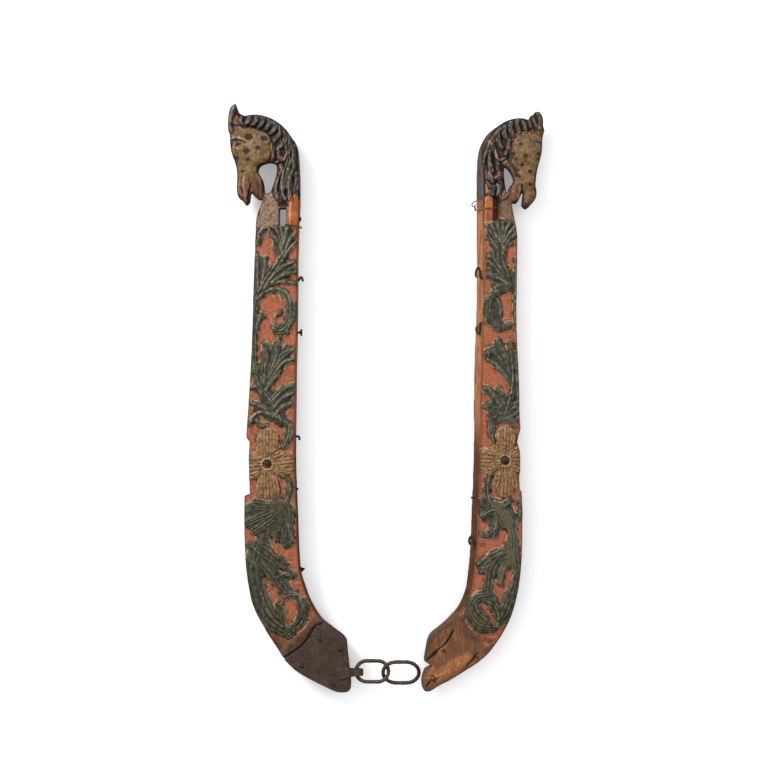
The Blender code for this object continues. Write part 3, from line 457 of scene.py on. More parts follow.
# Paint over each hame: spine, widths, and strength, or the depth of a crack. opening clears the
# leaves down to the ground.
LEFT_PAINT = {
    "opening": [
        ([(139, 529), (139, 528)], 7, 1),
        ([(149, 515), (143, 510), (135, 510), (129, 505), (130, 498)], (6, 9.5, 8, 7, 6), 1),
        ([(105, 515), (105, 503)], 6, 1),
        ([(138, 469), (123, 472), (112, 467), (104, 456)], (3, 4, 7, 10.5), 1),
        ([(140, 450), (130, 443), (134, 436), (137, 420), (135, 411)], (8, 11.5, 9.5, 10.5, 7), 1),
        ([(108, 378), (116, 368), (129, 353)], (9.5, 14, 7), 1), ([(156, 348), (150, 341)], (7, 8), 1),
        ([(106, 341), (107, 316), (106, 283)], (4, 4.5, 6), 1),
        ([(140, 303), (133, 308), (123, 304)], (7, 10.5, 7), 1), ([(162, 183), (155, 179)], (9.5, 8), 1),
        ([(133, 179), (129, 167), (116, 160), (104, 155)], (4.5, 8, 10.5, 16), 1),
        ([(101, 204), (102, 186), (101, 167)], (6, 8, 10.5), 1), ([(102, 130), (97, 116)], (8, 10.5), 1),
        ([(140, 133), (134, 122), (124, 108)], (4.5, 10.5, 8), 1), ([(122, 143), (115, 139)], 4, 1),
        ([(114, 106), (108, 99), (109, 88), (114, 81)], (6, 10.5, 9.5, 6), 1),
    ],
    "red": [
        ([(139, 528), (139, 528)], 7, 1), ([(145, 513), (141, 505), (133, 503)], (8, 11.5, 7), 1),
        ([(106, 516), (106, 503)], (6, 7), 1),
        ([(137, 467), (124, 471), (112, 467), (105, 455)], (3.5, 6, 7, 9.5), 1),
        ([(140, 448), (129, 444)], (11.5, 16), 1),
        ([(137, 434), (134, 420), (135, 407)], (9.5, 14, 11.5), 1), ([(105, 434), (106, 403)], (4.5, 6), 1),
        ([(115, 403), (106, 411)], 7, 0.9), ([(156, 378), (155, 358)], 6, 1),
        ([(140, 304), (133, 307), (123, 303)], (9.5, 13, 9.5), 1), ([(158, 186), (156, 175)], 9.5, 1),
    ],
    "panel": [
        ([(138, 575), (135, 565), (135, 552), (138, 541)], (14, 23, 26.5, 29), 1),
        ([(125, 565), (124, 541)], 4.5, 1),
    ],
    "jaw": [
        ([(155, 593), (149, 582), (143, 571)], (13, 14, 10.5), 0.95),
        ([(170, 587), (166, 574), (160, 564)], (10.5, 14, 10.5), 0.7), ([(159, 587), (160, 568)], 6, 0.8),
    ],
    "pink": [
        ([(142, 563), (137, 554), (133, 546)], (9.5, 10.5, 7), 0.3), ([(129, 567), (128, 557)], 3.5, 0.5),
        ([(122, 434), (121, 430)], 8, 0.5), ([(116, 100), (109, 92)], 9.5, 0.35),
    ],
    "pale": [
        ([(110.5, 566), (111, 554.5), (111, 543)], (3, 3.5, 2.5), 0.75),
        ([(149.5, 517.5), (147.5, 530), (143, 538), (138, 541.5)], (1.5, 2, 1.5), 0.5),
        ([(132.5, 463), (128, 454.5)], 2.5, 0.6), ([(124.5, 463), (122, 453.5)], 2.5, 0.6),
        ([(149.5, 454.5), (141, 463.5), (127.5, 467.5), (116, 464), (109.5, 452.5)], (1.5, 2, 2), 0.6),
        ([(143, 396.5), (143.5, 402.5), (139, 406.5), (135, 402.5), (134, 395)], (1.5, 2, 1.5), 0.7),
        ([(134, 395), (130.5, 405), (124, 413)], 1.5, 0.6),
        ([(158, 311), (153.5, 321.5), (145, 325.5), (135, 323.5), (125.5, 319)], (2, 2, 1.5), 0.75),
        ([(156, 341), (150, 338), (144, 341)], (1.5, 2, 1.5), 0.6),
        ([(123.5, 494), (131.5, 482.5), (138.5, 473.5)], (1.5, 2, 1.5), 0.45),
        ([(118.5, 314.5), (111.5, 311), (109, 303), (111.5, 291)], (1.5, 2, 1.5), 0.5),
        ([(135, 181), (132.5, 170.5), (127, 162.5)], (2, 2, 2), 0.6),
        ([(160.5, 221.5), (149, 225)], 1.5, 0.5),
        ([(103.5, 524.5), (113, 512.5), (120, 500)], (1.5, 2, 1.5), 0.6),
        ([(116, 538), (118, 524.5), (120, 512.5)], (1.5, 2, 1.5), 0.5),
        ([(144, 116), (139.5, 102), (130.5, 87), (118.5, 76.5)], (1.5, 1.5, 1.5), 0.4),
        ([(124.5, 110), (118.5, 115), (109.5, 117.5), (99, 113.5)], (1.5, 2, 1.5), 0.5),
        ([(114, 67.5), (103.5, 74), (96.5, 84.5)], (1.5, 2, 1.5), 0.45),
        ([(127.5, 133.5), (115, 140.5)], 1.5, 0.45), ([(107.5, 327), (118.5, 326)], 1.5, 0.4),
    ],
    "dark": [
        # The first stroke is painted shadow under the mane lock, along the top of the slot.
        ([(124, 564), (114, 564)], 4.5, 0.95), ([(103.5, 452.5), (104, 436)], 3.5, 0.6),
        ([(127, 140.5), (122, 133.5)], 2.5, 0.7),
        ([(137, 74), (104.5, 64), (80.5, 84.5)], (2.5, 3, 2.5), 0.35),
        ([(73.5, 82), (83.5, 76.5), (89, 68.5), (96.5, 57), (117.5, 42)], (3.5, 4, 4, 3.5, 3), 0.85),
    ],
    "brown": [
        ([(162, 146), (159, 118), (150, 87), (135, 64), (116, 49)], (6, 10.5, 14, 18.5, 21), 1),
        ([(112, 55), (93, 67), (78, 81)], (23, 18.5, 10.5), 1),
        ([(151, 84), (137, 58), (119, 39)], (11.5, 18.5, 21), 1),
        ([(90, 109), (84, 93), (89, 72), (105, 56)], (7, 11.5, 16, 16), 0.6),
        ([(128, 57), (114, 46), (102, 53)], (16, 21, 14), 0.8),
    ],
}

RIGHT_PAINT = {
    "opening": [
        ([(141, 515), (143, 503), (142, 493)], (6, 9.5, 6), 1),
        ([(134, 454), (138, 443), (137, 433)], (7, 10.5, 7), 1),
        ([(112, 384), (123, 369), (135, 357), (141, 349)], (4.5, 14, 11.5, 6), 1),
        ([(110, 342), (118, 339)], (7, 6), 1), ([(128, 306), (137, 309), (146, 305)], (6, 9.5, 7), 1),
        ([(115, 324), (115, 284)], (5, 6), 1), ([(124, 232), (134, 230), (147, 233)], (10.5, 13, 9.5), 1),
        ([(109, 193), (115, 194)], (9.5, 7), 1),
        ([(103, 160), (117, 169), (130, 175), (136, 186)], (16, 13, 14, 9.5), 1),
        ([(111, 137), (105, 128), (97, 116)], (6, 15, 9.5), 1),
        ([(125, 128), (130, 119), (131, 104)], (4.5, 8, 5), 1),
        ([(145, 140), (141, 129), (132, 117)], (4.5, 7, 7), 1), ([(154, 198), (154, 181)], 5, 1),
        ([(109, 102), (118, 92), (126, 81)], (5, 7.5, 6), 1), ([(147, 418), (149, 397)], 3.5, 1),
    ],
    "red": [
        ([(140, 513), (143, 503), (142, 494)], (7, 9.5, 7), 1), ([(116, 524), (116, 499)], 3.5, 0.35),
        ([(135, 451), (139, 441), (137, 433)], (8, 9.5, 6), 1),
        ([(116, 420), (120, 413), (132, 412), (141, 416)], (9.5, 14, 11.5, 9.5), 1),
        ([(116, 403), (118, 408)], 7, 1),
        ([(114, 378), (123, 367), (135, 358), (141, 351)], (9.5, 14, 14, 6), 1),
        ([(114, 357), (123, 360)], 9.5, 1), ([(113, 340), (118, 339)], (6, 4.5), 1),
        ([(130, 306), (137, 308), (145, 305)], (8, 10.5, 8), 1),
        ([(114, 321), (116, 304), (115, 284)], (6, 6.5, 6), 1),
        ([(127, 234), (135, 230), (145, 232)], (11.5, 14, 9.5), 1),
        ([(113, 246), (110, 223), (109, 211)], (4.5, 6, 6), 0.8), ([(111, 194), (112, 190)], 7, 0.8),
        ([(154, 195), (154, 182)], 4.5, 0.8), ([(109, 171), (120, 174), (132, 181)], (21, 18.5, 14), 0.75),
        ([(106, 136), (102, 121)], (14, 16), 0.9), ([(147, 140), (141, 130), (133, 117)], (6, 7, 9.5), 0.8),
        ([(125, 128), (131, 116), (131, 106)], (7, 9.5, 6), 0.8), ([(148, 415), (149, 397)], 3.5, 0.4),
    ],
    "bare": [
        ([(58, 19), (74, 29), (92, 42)], (18.5, 22, 17.5), 1), ([(69, 60), (62, 46)], (11.5, 10.5), 0.6),
        ([(48, 19), (54, 29)], (10.5, 9.5), 0.8),
    ],
    "gloss": [
        ([(115.5, 601.5), (119, 598)], (5, 4), 0.85), ([(114.5, 587), (116, 579)], 4.5, 0.8),
        ([(118, 638), (121.5, 634.5)], (4.5, 3.5), 0.75), ([(128.5, 598.5), (130.5, 602)], (3.5, 3), 0.6),
    ],
    "faded": [
        ([(130, 213), (139, 200), (145, 176), (141, 153), (130, 139)], (23, 21, 21, 23, 18.5), 1),
        ([(118, 153), (113, 136)], (16, 14), 0.6), ([(97, 93), (113, 79)], (16, 14), 0.6),
    ],
    "jaw": [
        ([(146, 585), (145, 571)], (14, 11.5), 0.75), ([(163, 582), (161, 564)], (17.5, 14), 0.6),
        ([(138, 573), (139, 545)], (16, 18.5), 0.5),
    ],
    "brown": [
        ([(146, 81), (132, 58), (116, 49)], (14, 16, 11.5), 0.8),
        ([(88, 86), (97, 67), (120, 60)], (11.5, 14, 9.5), 0.85),
        ([(51, 60), (60, 72), (76, 81)], (7, 9.5, 7), 0.6), ([(92, 7), (120, 28), (139, 49)], 7, 0.8),
    ],
    "crack": [
        ([(77.5, 74), (75.5, 69.5), (73.5, 66), (71, 61.5), (67.5, 57),
         (64, 53.5)], (2, 4.5, 3.5, 4.5, 3, 2), 3.4),
        ([(63.5, 53.5), (59, 50), (56, 46.5), (52, 43), (47, 38.5)], (1.5, 3.5, 6, 4.5, 3), 3.4),
        ([(106.5, 47.5), (102.5, 43), (100, 39), (96, 35), (91.5, 29)], (1, 3, 3.5, 2.5, 1), 2.6),
        ([(102, 42), (107, 41)], (2.5, 1), 1.6), ([(52, 15.5), (49, 11), (45.5, 7)], (2, 3, 2.5), 1.6),
        ([(53, 21), (57.5, 16), (60.5, 17.5)], (1.5, 2, 1.5), 0.6),
    ],
    "panel": [
        ([(137, 574), (138, 559), (139, 543)], (15, 18.5, 21), 1),
    ],
    "pink": [
        ([(145, 554), (146, 541)], 3.5, 0.4), ([(135, 449), (137, 436)], (7, 6), 0.5),
        ([(150, 334), (152, 316)], 3.5, 0.4),
    ],
    "pale": [
        ([(114.5, 573), (114.5, 557), (114, 540.5)], (2.5, 2.5, 2), 0.7),
        ([(113.5, 538), (113.5, 512.5), (114, 478)], 1.5, 0.45),
        ([(120.5, 539.5), (125, 530), (129, 523)], (1.5, 2, 1.5), 0.5),
        ([(135.5, 523), (134, 506), (136, 493)], (1.5, 2, 1.5), 0.6), ([(121.5, 514), (124, 506)], 2.5, 0.4),
        ([(136, 497.5), (143, 493.5)], 2.5, 0.6),
        ([(115.5, 454.5), (120.5, 461.5), (128.5, 465.5)], (1.5, 2, 1.5), 0.7),
        ([(119, 425.5), (125, 419), (132, 416.5)], (1.5, 2, 1.5), 0.55),
        ([(135, 432), (139, 433.5)], 2.5, 0.8),
        ([(122.5, 405), (126, 410), (133, 410.5)], (1.5, 2, 1.5), 0.7),
        ([(112, 396.5), (117.5, 400), (124, 401.5)], (1.5, 2, 1.5), 0.6),
        ([(115.5, 387.5), (122.5, 385), (127.5, 381.5)], (1.5, 1.5, 1.5), 0.4),
        ([(125, 352.5), (129.5, 355.5), (135.5, 348.5), (141, 348)], (1.5, 2, 1.5), 0.6),
        ([(111.5, 343.5), (118, 342), (119, 337.5)], 1.5, 0.5),
        ([(124, 223.5), (132, 221), (141, 225.5)], (1.5, 2, 1.5), 0.8), ([(115, 282), (119, 281.5)], 2, 0.6),
        ([(108.5, 152), (115.5, 158), (118, 163.5), (125, 167.5), (135.5, 170.5)], (1.5, 2, 1.5), 0.7),
        ([(110, 145), (120.5, 147.5)], 1.5, 0.5),
        ([(95, 105.5), (101.5, 117), (113.5, 120)], (1.5, 2, 1.5), 0.45),
        ([(150.5, 408.5), (152, 394.5)], (1.5, 2), 0.55),
        ([(149.5, 199.5), (151.5, 176.5), (151.5, 153)], (1.5, 1.5, 1.5), 0.45),
    ],
    "dark": [
        # The first stroke is painted shade along the slot and the post's edge beside it.
        ([(126, 566), (126.5, 557), (125, 547.5)], (8, 8, 6), 0.95), ([(124.5, 296), (126, 291)], 3, 0.7),
        ([(105, 102), (110, 105.5)], 2.5, 0.5), ([(122.5, 102), (124, 97.5)], 3, 0.7),
    ],
}


# ---------------------------------------------------------------------------
# Small numeric tools
# ---------------------------------------------------------------------------
def smooth_step(low, high, value):
    share = np.clip((value - low) / (high - low), 0.0, 1.0)
    return share * share * (3.0 - 2.0 * share)


def smooth_run(points, per=5):
    """A Catmull-Rom curve through the points, as an array."""
    pts = np.asarray(points, float)
    if len(pts) == 2:
        steps = np.linspace(0.0, 1.0, per + 1)[:, None]
        return pts[0] * (1.0 - steps) + pts[1] * steps
    ends = np.vstack([2 * pts[0] - pts[1], pts, 2 * pts[-1] - pts[-2]])
    run = []
    for a, b, c, d in zip(ends[:-3], ends[1:-2], ends[2:-1], ends[3:]):
        for step in range(per):
            t = step / per
            run.append(
                0.5 * (2 * b + (c - a) * t + (2 * a - 5 * b + 4 * c - d) * t**2
                       + (3 * b - a - 3 * c + d) * t**3)
            )
    run.append(pts[-1])
    return np.array(run)


def ring(centre, radius, count=14):
    """Points round a full circle."""
    angles = np.radians(np.linspace(0.0, 360.0, count))
    return np.column_stack([centre[0] + radius * np.cos(angles), centre[1] + radius * np.sin(angles)])


def lattice_noise(points, size, seed):
    """Smooth value noise from 0 to 1 at the points, with cells of that size."""
    grid = np.asarray(points) / size
    base = np.floor(grid).astype(np.int64)
    part = grid - base
    part = part * part * (3.0 - 2.0 * part)
    total = np.zeros(len(grid))
    for corner in np.ndindex(*(2,) * grid.shape[1]):
        cell = base + np.array(corner)
        mixed = np.full(len(grid), seed * 7919, np.int64)
        for axis, prime in zip(range(grid.shape[1]), (73856093, 19349663, 83492791)):
            mixed ^= cell[:, axis] * prime
        mixed = (mixed ^ (mixed >> 13)) * 1274126177 & 0x7FFFFFFF
        mixed = (mixed ^ (mixed >> 15)) & 0xFFFF
        weight = np.ones(len(grid))
        for axis, bit in enumerate(corner):
            weight = weight * (part[:, axis] if bit else 1.0 - part[:, axis])
        total += weight * mixed / 0xFFFF
    return total


def blur(grid, rounds):
    """The grid after some rounds of a small box blur."""
    for _ in range(rounds):
        wide = np.pad(grid, 1, mode="edge")
        rows = wide[:-2] + wide[1:-1] + wide[2:]
        grid = (rows[:, :-2] + rows[:, 1:-1] + rows[:, 2:]) / 9.0
    return grid


def raise_to(grid, place, values):
    """Lifts part of a grid to the values, where it is lower."""
    grid[place] = np.maximum(grid[place], values)


class Field:
    """Heights and paint masks over the carved front of one hame, on a square grid."""

    MASKS = (
        "leaf", "flower", "red", "face", "mane", "pink", "pale", "dark", "gloss", "bare", "brown",
        "spot", "panel", "jaw", "faded",
    )

    def __init__(self):
        self.u = np.arange(*FIELD_U, CELL)
        self.z = np.arange(*FIELD_Z, CELL)
        shape = (len(self.u), len(self.z))
        self.height = np.zeros(shape)
        self.mask = {name: np.zeros(shape) for name in self.MASKS}

    def near(self, points, reach):
        """The slices and coordinates of the cells within reach of the points."""
        low = np.min(points, axis=0) - reach
        high = np.max(points, axis=0) + reach
        i0, i1 = np.searchsorted(self.u, (low[0], high[0]))
        j0, j1 = np.searchsorted(self.z, (low[1], high[1]))
        place = (slice(i0, i1), slice(j0, j1))
        u, z = np.meshgrid(self.u[i0:i1], self.z[j0:j1], indexing="ij")
        return place, u, z

    def measure(self, points, widths):
        """For the cells near a stroke: their place, and (off, lateral, along) for each.

        off is the distance from the spine in half widths, lateral is how much of it lies
        to one side, and along is the share of the stroke travelled.
        """
        line = smooth_run(points)
        half = np.atleast_1d(widths).astype(float) / 2
        place, u, z = self.near(line, half.max() + 1.0)
        best = np.full(u.shape, 9.0)
        lateral = np.zeros(u.shape)
        along = np.zeros(u.shape)
        lengths = np.hypot(*np.diff(line, axis=0).T)
        travelled = np.concatenate([[0.0], np.cumsum(lengths)])
        for k in range(len(lengths)):
            a, b = line[k], line[k + 1]
            d = (b - a) / lengths[k]
            t = np.clip((u - a[0]) * d[0] + (z - a[1]) * d[1], 0.0, lengths[k])
            du = u - a[0] - t * d[0]
            dz = z - a[1] - t * d[1]
            share = (travelled[k] + t) / travelled[-1]
            width = np.interp(share, np.linspace(0.0, 1.0, len(half)), half)
            off = np.hypot(du, dz) / width
            nearer = off < best
            best = np.where(nearer, off, best)
            lateral = np.where(nearer, (d[0] * dz - d[1] * du) / width, lateral)
            along = np.where(nearer, share, along)
        return place, best, lateral, along

    def leaf(self, points, widths, grooves, rise=LEAF_RISE, paint="leaf", power=LEAF_POWER):
        """A raised stroke with grooves running along it."""
        place, off, lateral, along = self.measure(points, widths)
        height = rise * np.clip(1.0 - off**2, 0.0, 1.0) ** power
        if grooves:
            sway = GROOVE_SWAY * np.sin(GROOVE_TURNS * along)
            wave = np.abs(np.sin((lateral + 1.0) * (grooves + 1) * math.pi / 2 + sway))
            height = height * (1.0 - RIB_DEPTH * np.clip(1.0 - wave, 0.0, 1.0) ** 2)
        raise_to(self.height, place, height)
        raise_to(self.mask[paint], place, smooth_step(1.04, 0.92, off))

    def paint(self, name, points, widths, soft=0.25, strength=1.0):
        """A stroke of paint only."""
        place, off, _, _ = self.measure(points, widths)
        raise_to(self.mask[name], place, strength * smooth_step(1.0, 1.0 - soft, off))

    def clear(self, points, widths):
        """Cuts an opening in the leaves, down to the ground."""
        place, off, _, _ = self.measure(points, widths)
        kept = smooth_step(0.85, 1.1, off)
        self.height[place] *= kept
        self.mask["leaf"][place] *= kept

    def line(self, points, widths, rise, name, cover, core):
        """Adds a round ridge, or a cut where rise is below zero, and paints its middle."""
        place, off, _, _ = self.measure(points, widths)
        self.height[place] += rise * np.clip(1.0 - off**2, 0.0, 1.0)
        raise_to(self.mask[name], place, cover * smooth_step(1.0, core, off))

    def ridge(self, points, widths, rise, pale):
        """A low raised line, worn pale on its top."""
        self.line(points, widths, rise, "pale", pale, 0.3)

    def groove(self, points, widths, depth, dark):
        """A cut with a round, dirty bottom."""
        self.line(points, widths, -depth, "dark", dark, 0.5)

    def dome(self, centre, radii, rise, name=None):
        """A rounded boss, or a hollow where rise is below zero."""
        place, u, z = self.near([centre], max(radii) + 1.0)
        off = np.hypot((u - centre[0]) / radii[0], (z - centre[1]) / radii[1])
        self.height[place] += rise * np.clip(1.0 - off**2, 0.0, 1.0)
        if name:
            raise_to(self.mask[name], place, smooth_step(1.05, 0.8, off))

    def sample(self, grid, u, z):
        """The grid's value at points (u, z), read between its cells."""
        a = np.clip((u - self.u[0]) / CELL, 0, len(self.u) - 1.001)
        b = np.clip((z - self.z[0]) / CELL, 0, len(self.z) - 1.001)
        i, j = a.astype(int), b.astype(int)
        s, t = a - i, b - j
        return (
            grid[i, j] * (1 - s) * (1 - t) + grid[i + 1, j] * s * (1 - t)
            + grid[i, j + 1] * (1 - s) * t + grid[i + 1, j + 1] * s * t
        )


# ---------------------------------------------------------------------------
# Meshes
# ---------------------------------------------------------------------------
def remeshed(node, name, cell, rounds):
    """A fine, evenly spaced copy of a CAD node, its edges softened by rounds of smoothing."""
    body = bpy.data.objects.new(name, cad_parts[node].data.copy())
    bpy.context.scene.collection.objects.link(body)
    remesh = body.modifiers.new("fine", "REMESH")
    remesh.mode = "VOXEL"
    remesh.voxel_size = cell * MM
    soften = body.modifiers.new("soften", "SMOOTH")
    soften.factor = 0.5
    soften.iterations = rounds
    bpy.context.view_layer.update()
    graph = bpy.context.evaluated_depsgraph_get()
    mesh = bpy.data.meshes.new_from_object(body.evaluated_get(graph))
    body.modifiers.clear()
    body.data = mesh
    mesh.name = name
    mesh.materials.clear()
    return body


def vertex_values(mesh, name):
    """One vector of each vertex, such as its place, as rows of an array."""
    flat = np.empty(len(mesh.vertices) * 3, np.float32)
    mesh.vertices.foreach_get(name, flat)
    return flat.reshape(-1, 3).astype(float)


def move_to(mesh, points):
    mesh.vertices.foreach_set("co", (points * MM).astype(np.float32).ravel())
    mesh.update()


def set_value(mesh, name, values):
    layer = mesh.attributes.new(name, "FLOAT", "POINT")
    layer.data.foreach_set("value", np.asarray(values, np.float32))


def finish_piece(piece, node, body, material):
    """Shades a piece smoothly and puts it in its CAD node's place."""
    piece.data.polygons.foreach_set("use_smooth", [True] * len(piece.data.polygons))
    piece.data.materials.append(material)
    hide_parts(node)
    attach(piece, body)


def local_thickness(z):
    """The hame's thickness at height z: it thins down at the foot."""
    return np.interp(z, (0.0, TAPER_TOP), (TOE_THICKNESS, HAME_THICKNESS))


def edge_distance(points, normal, front):
    """How far each point of the front, or of the back, is from the side walls, up to FAR."""
    upright = np.abs(normal[:, 1]) < WALL_SLOPE
    at_front = -points[:, 1] > FRONT_SHARE * local_thickness(points[:, 2])
    ids = np.nonzero(upright & (at_front if front else ~at_front))[0]
    tree = KDTree(len(ids))
    for k, i in enumerate(ids):
        tree.insert((points[i, 0], 0.0, points[i, 2]), k)
    tree.balance()
    far = np.full(len(points), FAR)
    facing = normal[:, 1] < -WALL_SLOPE if front else normal[:, 1] > WALL_SLOPE
    for i in np.nonzero(facing)[0]:
        far[i] = min(FAR, tree.find((points[i, 0], 0.0, points[i, 2]))[2])
    far[upright] = 0.0
    return far


def rim_distance(points, normal, far):
    """How far each point is from the nearest long edge."""
    depth = -points[:, 1]
    to_edge = np.minimum(depth, local_thickness(points[:, 2]) - depth)
    return np.where(np.abs(normal[:, 1]) < WALL_SLOPE, to_edge, far)


# ---------------------------------------------------------------------------
# The carving of each hame
# ---------------------------------------------------------------------------
def carve_rosette(field, centre, petals):
    """Four petals round the bolt: a broad grooved stroke each, with three lobes at its tip."""
    for turn, length, width in petals:
        angle = math.radians(turn)
        way = np.array([math.cos(angle), math.sin(angle)])
        side = np.array([-way[1], way[0]])
        field.leaf([centre, centre + 0.45 * length * way, centre + 0.75 * length * way],
                   (14.0, 0.9 * width, width), 6, FLOWER_RISE - 0.4, "flower")
        for share in (-1.0, 0.0, 1.0):
            tip = centre + way * length * (0.86 - 0.12 * abs(share)) + side * share * 0.32 * width
            start = centre + way * 0.4 * length + side * share * 0.22 * width
            field.leaf([start, (start + tip) / 2, tip], (0.3 * width, 0.38 * width, 0.38 * width), 2,
                       FLOWER_RISE, "flower")
    field.groove(ring(centre, 4.4), 1.6, 1.0, 0.7)
    field.ridge(ring(centre, 6.4), 2.2, 0.7, 0.5)


def carve_leaves(field, beds, leaves):
    for widths, grooves, points in beds:
        field.leaf(points, widths, grooves, BED_RISE)
    for widths, grooves, points in leaves:
        field.leaf(points, LEAF_WIDER * np.array(widths), grooves)
        if np.max(widths) < VEINED_BELOW:
            field.ridge(points, VEIN_WIDTHS, VEIN_RISE, VEIN_PALE)


def carve_head(field, head):
    """One horse's head and neck, from its lists of strokes, bosses and spots."""
    for points, widths in head["face"]:
        field.paint("face", points, widths)
    for widths, grooves, points in head["locks"]:
        field.leaf(points, widths, grooves, LOCK_RISE, "mane", LOCK_POWER)
    for points, widths, strength in head["pink"]:
        field.paint("pink", points, widths, 0.4, strength)
    for centre, radii, rise in head["swells"]:
        field.dome(centre, radii, rise)
    for points, widths, rise, pale in head["ridges"]:
        field.ridge(points, widths, rise, pale)
    for points, widths, depth, dark in head["grooves"]:
        field.groove(points, widths, depth, dark)
    for centre, radius in head["spots"]:
        field.dome(centre, (radius * 1.1, radius * 0.9), SPOT_RISE, "spot")
    field.leaf(head["post"], head["post_widths"], 0, POST_RISE, "gloss")


def carved_field(beds, leaves, rosette, petals, head, patches):
    """All the carving and painting of one hame."""
    field = Field()
    carve_leaves(field, beds, leaves)
    carve_head(field, head)
    for name, strokes in patches.items():
        for points, widths, strength in strokes:
            if name == "opening":
                field.clear(points, widths)
            elif name == "pale":
                field.ridge(points, widths, WORN_RISE, strength)
            elif name == "crack":
                field.groove(points, widths, strength, 1.0)
            else:
                field.paint(name, points, widths, SOFTNESS.get(name, 0.3), strength)
    carve_rosette(field, np.array(rosette), petals)
    field.mask["leaf"] *= 1.0 - field.mask["flower"]
    raised = field.mask["leaf"] + field.mask["flower"]
    around = np.clip((blur(raised, OUTLINE_ROUNDS) - 0.05) / 0.2, 0.0, 1.0)
    field.mask["outline"] = around * (1.0 - np.clip(raised, 0.0, 1.0))
    return field


def make_hame(name, side, carving, slot_lean):
    """The carved hame that stands for its CAD node. side is -1 for the left and 1 for the right."""
    node = f"{name}_hame"
    hame = remeshed(node, f"{name}_carved_hame", WOOD_CELL, WOOD_SOFTENING)
    mesh = hame.data
    points = vertex_values(mesh, "co") / MM
    normal = vertex_values(mesh, "normal")
    u, z = points[:, 0] * side, points[:, 2]
    field = carved_field(*carving)
    height = field.sample(field.height, u, z)
    relief = field.sample(field.height - blur(field.height, RELIEF_ROUNDS), u, z) / RELIEF_SPAN

    # Which part of the hame each point is on.
    thick = local_thickness(z)
    depth_share = np.clip(-points[:, 1] / thick, 0.0, 1.0)
    in_snout = smooth_step(*SNOUT_U, u) * smooth_step(*SNOUT_Z, z)
    in_head = np.maximum(smooth_step(*HEAD_BASE, z), in_snout)
    in_body = 1.0 - in_head
    shoe_line = (u - SHOE_TOP[0]) * SHOE_NORMAL[0] + (z - SHOE_TOP[1]) * SHOE_NORMAL[1]
    carved = smooth_step(*SHOE_FADE, shoe_line)
    is_front = smooth_step(0.25, 0.75, -normal[:, 1])
    is_back = smooth_step(0.25, 0.75, normal[:, 1])
    walls = 1.0 - np.maximum(is_front, is_back)
    front_far = edge_distance(points, normal, True)
    back_far = edge_distance(points, normal, False)
    far = np.where(normal[:, 1] < 0.0, front_far, back_far)
    # edge is high near the long edges; the material darkens it there with dirt and painted shade
    edge = np.clip(1.0 - rim_distance(points, normal, far) / EDGE_DIRT_AND_SHADE, 0.0, 1.0)

    # The carving, on the front and on both sides of the head.
    front_weight = smooth_step(0.3, 1.0, depth_share)
    back_weight = smooth_step(0.6, 0.0, depth_share)
    lowered = np.where(in_head > 0.5, HEAD_DEPTH, GROUND_DEPTH * carved)
    wander = lattice_noise(np.column_stack([u, z]), 9.0, 3) - 0.5
    knife = lattice_noise(np.column_stack([u, z * 0.5]), 2.6, 5) - 0.5
    rough = WANDER * wander + KNIFE * knife
    points[:, 1] += front_weight * (lowered - height * np.maximum(carved, in_head) + rough)
    points[:, 1] -= back_weight * in_head * (HEAD_DEPTH - height + 0.3)
    points[:, 1] -= back_weight * in_body * BACK_WEAR * (wander + 0.5)

    # The head's rounded long edges.
    near = 1.0 - np.clip(far / HEAD_ROUND, 0.0, 1.0)
    squeeze = HEAD_EDGE + (1.0 - HEAD_EDGE) * np.sqrt(np.clip(1.0 - near**2, 0.0, 1.0))
    middle = -thick / 2
    rounded = middle + (points[:, 1] - middle) * squeeze
    points[:, 1] = points[:, 1] + in_head * (rounded - points[:, 1])

    # The slot's leaning walls, and the hewn side walls.
    slot_near = smooth_step(*SLOT_BAND_U, np.abs(u - SLOT_PLACE[0])) * smooth_step(
        *SLOT_BAND_Z, np.abs(z - SLOT_PLACE[1]))
    points[:, 0] -= side * slot_lean * (1.0 - depth_share) * slot_near
    hew = lattice_noise(points * (1.0, 1.0, 0.35), 6.0, 11) - 0.5
    push = normal * (walls * in_body * WALL_WEAR * hew)[:, None]
    points[:, 0] += push[:, 0]
    points[:, 2] += push[:, 2]
    move_to(mesh, points)

    # What the material reads.
    facing = np.where(in_head > 0.5, np.maximum(is_front, is_back), is_front)
    wrap = np.where(in_head > 0.5, 1.0, smooth_step(0.80, 0.93, depth_share))
    for mask, grid in field.mask.items():
        set_value(mesh, mask, field.sample(grid, u, z) * np.maximum(facing, wrap))
    values = {
        "crest": np.clip(relief, 0.0, 1.0) * facing * carved,
        # hollow: where the relief sinks below its surroundings; the material darkens it with dirt and
        # painted shade
        "hollow": np.clip(-relief, 0.0, 1.0) * facing,
        "front": np.maximum(is_front, wrap * in_body),
        "back": is_back * in_body,
        "head": in_head,
        "wall": walls,
        "carved": carved,
        "edge": edge,
    }
    for key, value in values.items():
        set_value(mesh, key, value)
    finish_piece(hame, node, f"{name}_half", PAINTED_WOOD)


# ---------------------------------------------------------------------------
# Materials
# ---------------------------------------------------------------------------
def srgb(red, green, blue):
    """A colour given as 0 to 255 screen values, as linear RGBA."""
    linear = []
    for value in (red, green, blue):
        share = value / 255
        linear.append(share / 12.92 if share <= 0.04045 else ((share + 0.055) / 1.055) ** 2.4)
    return (*linear, 1.0)


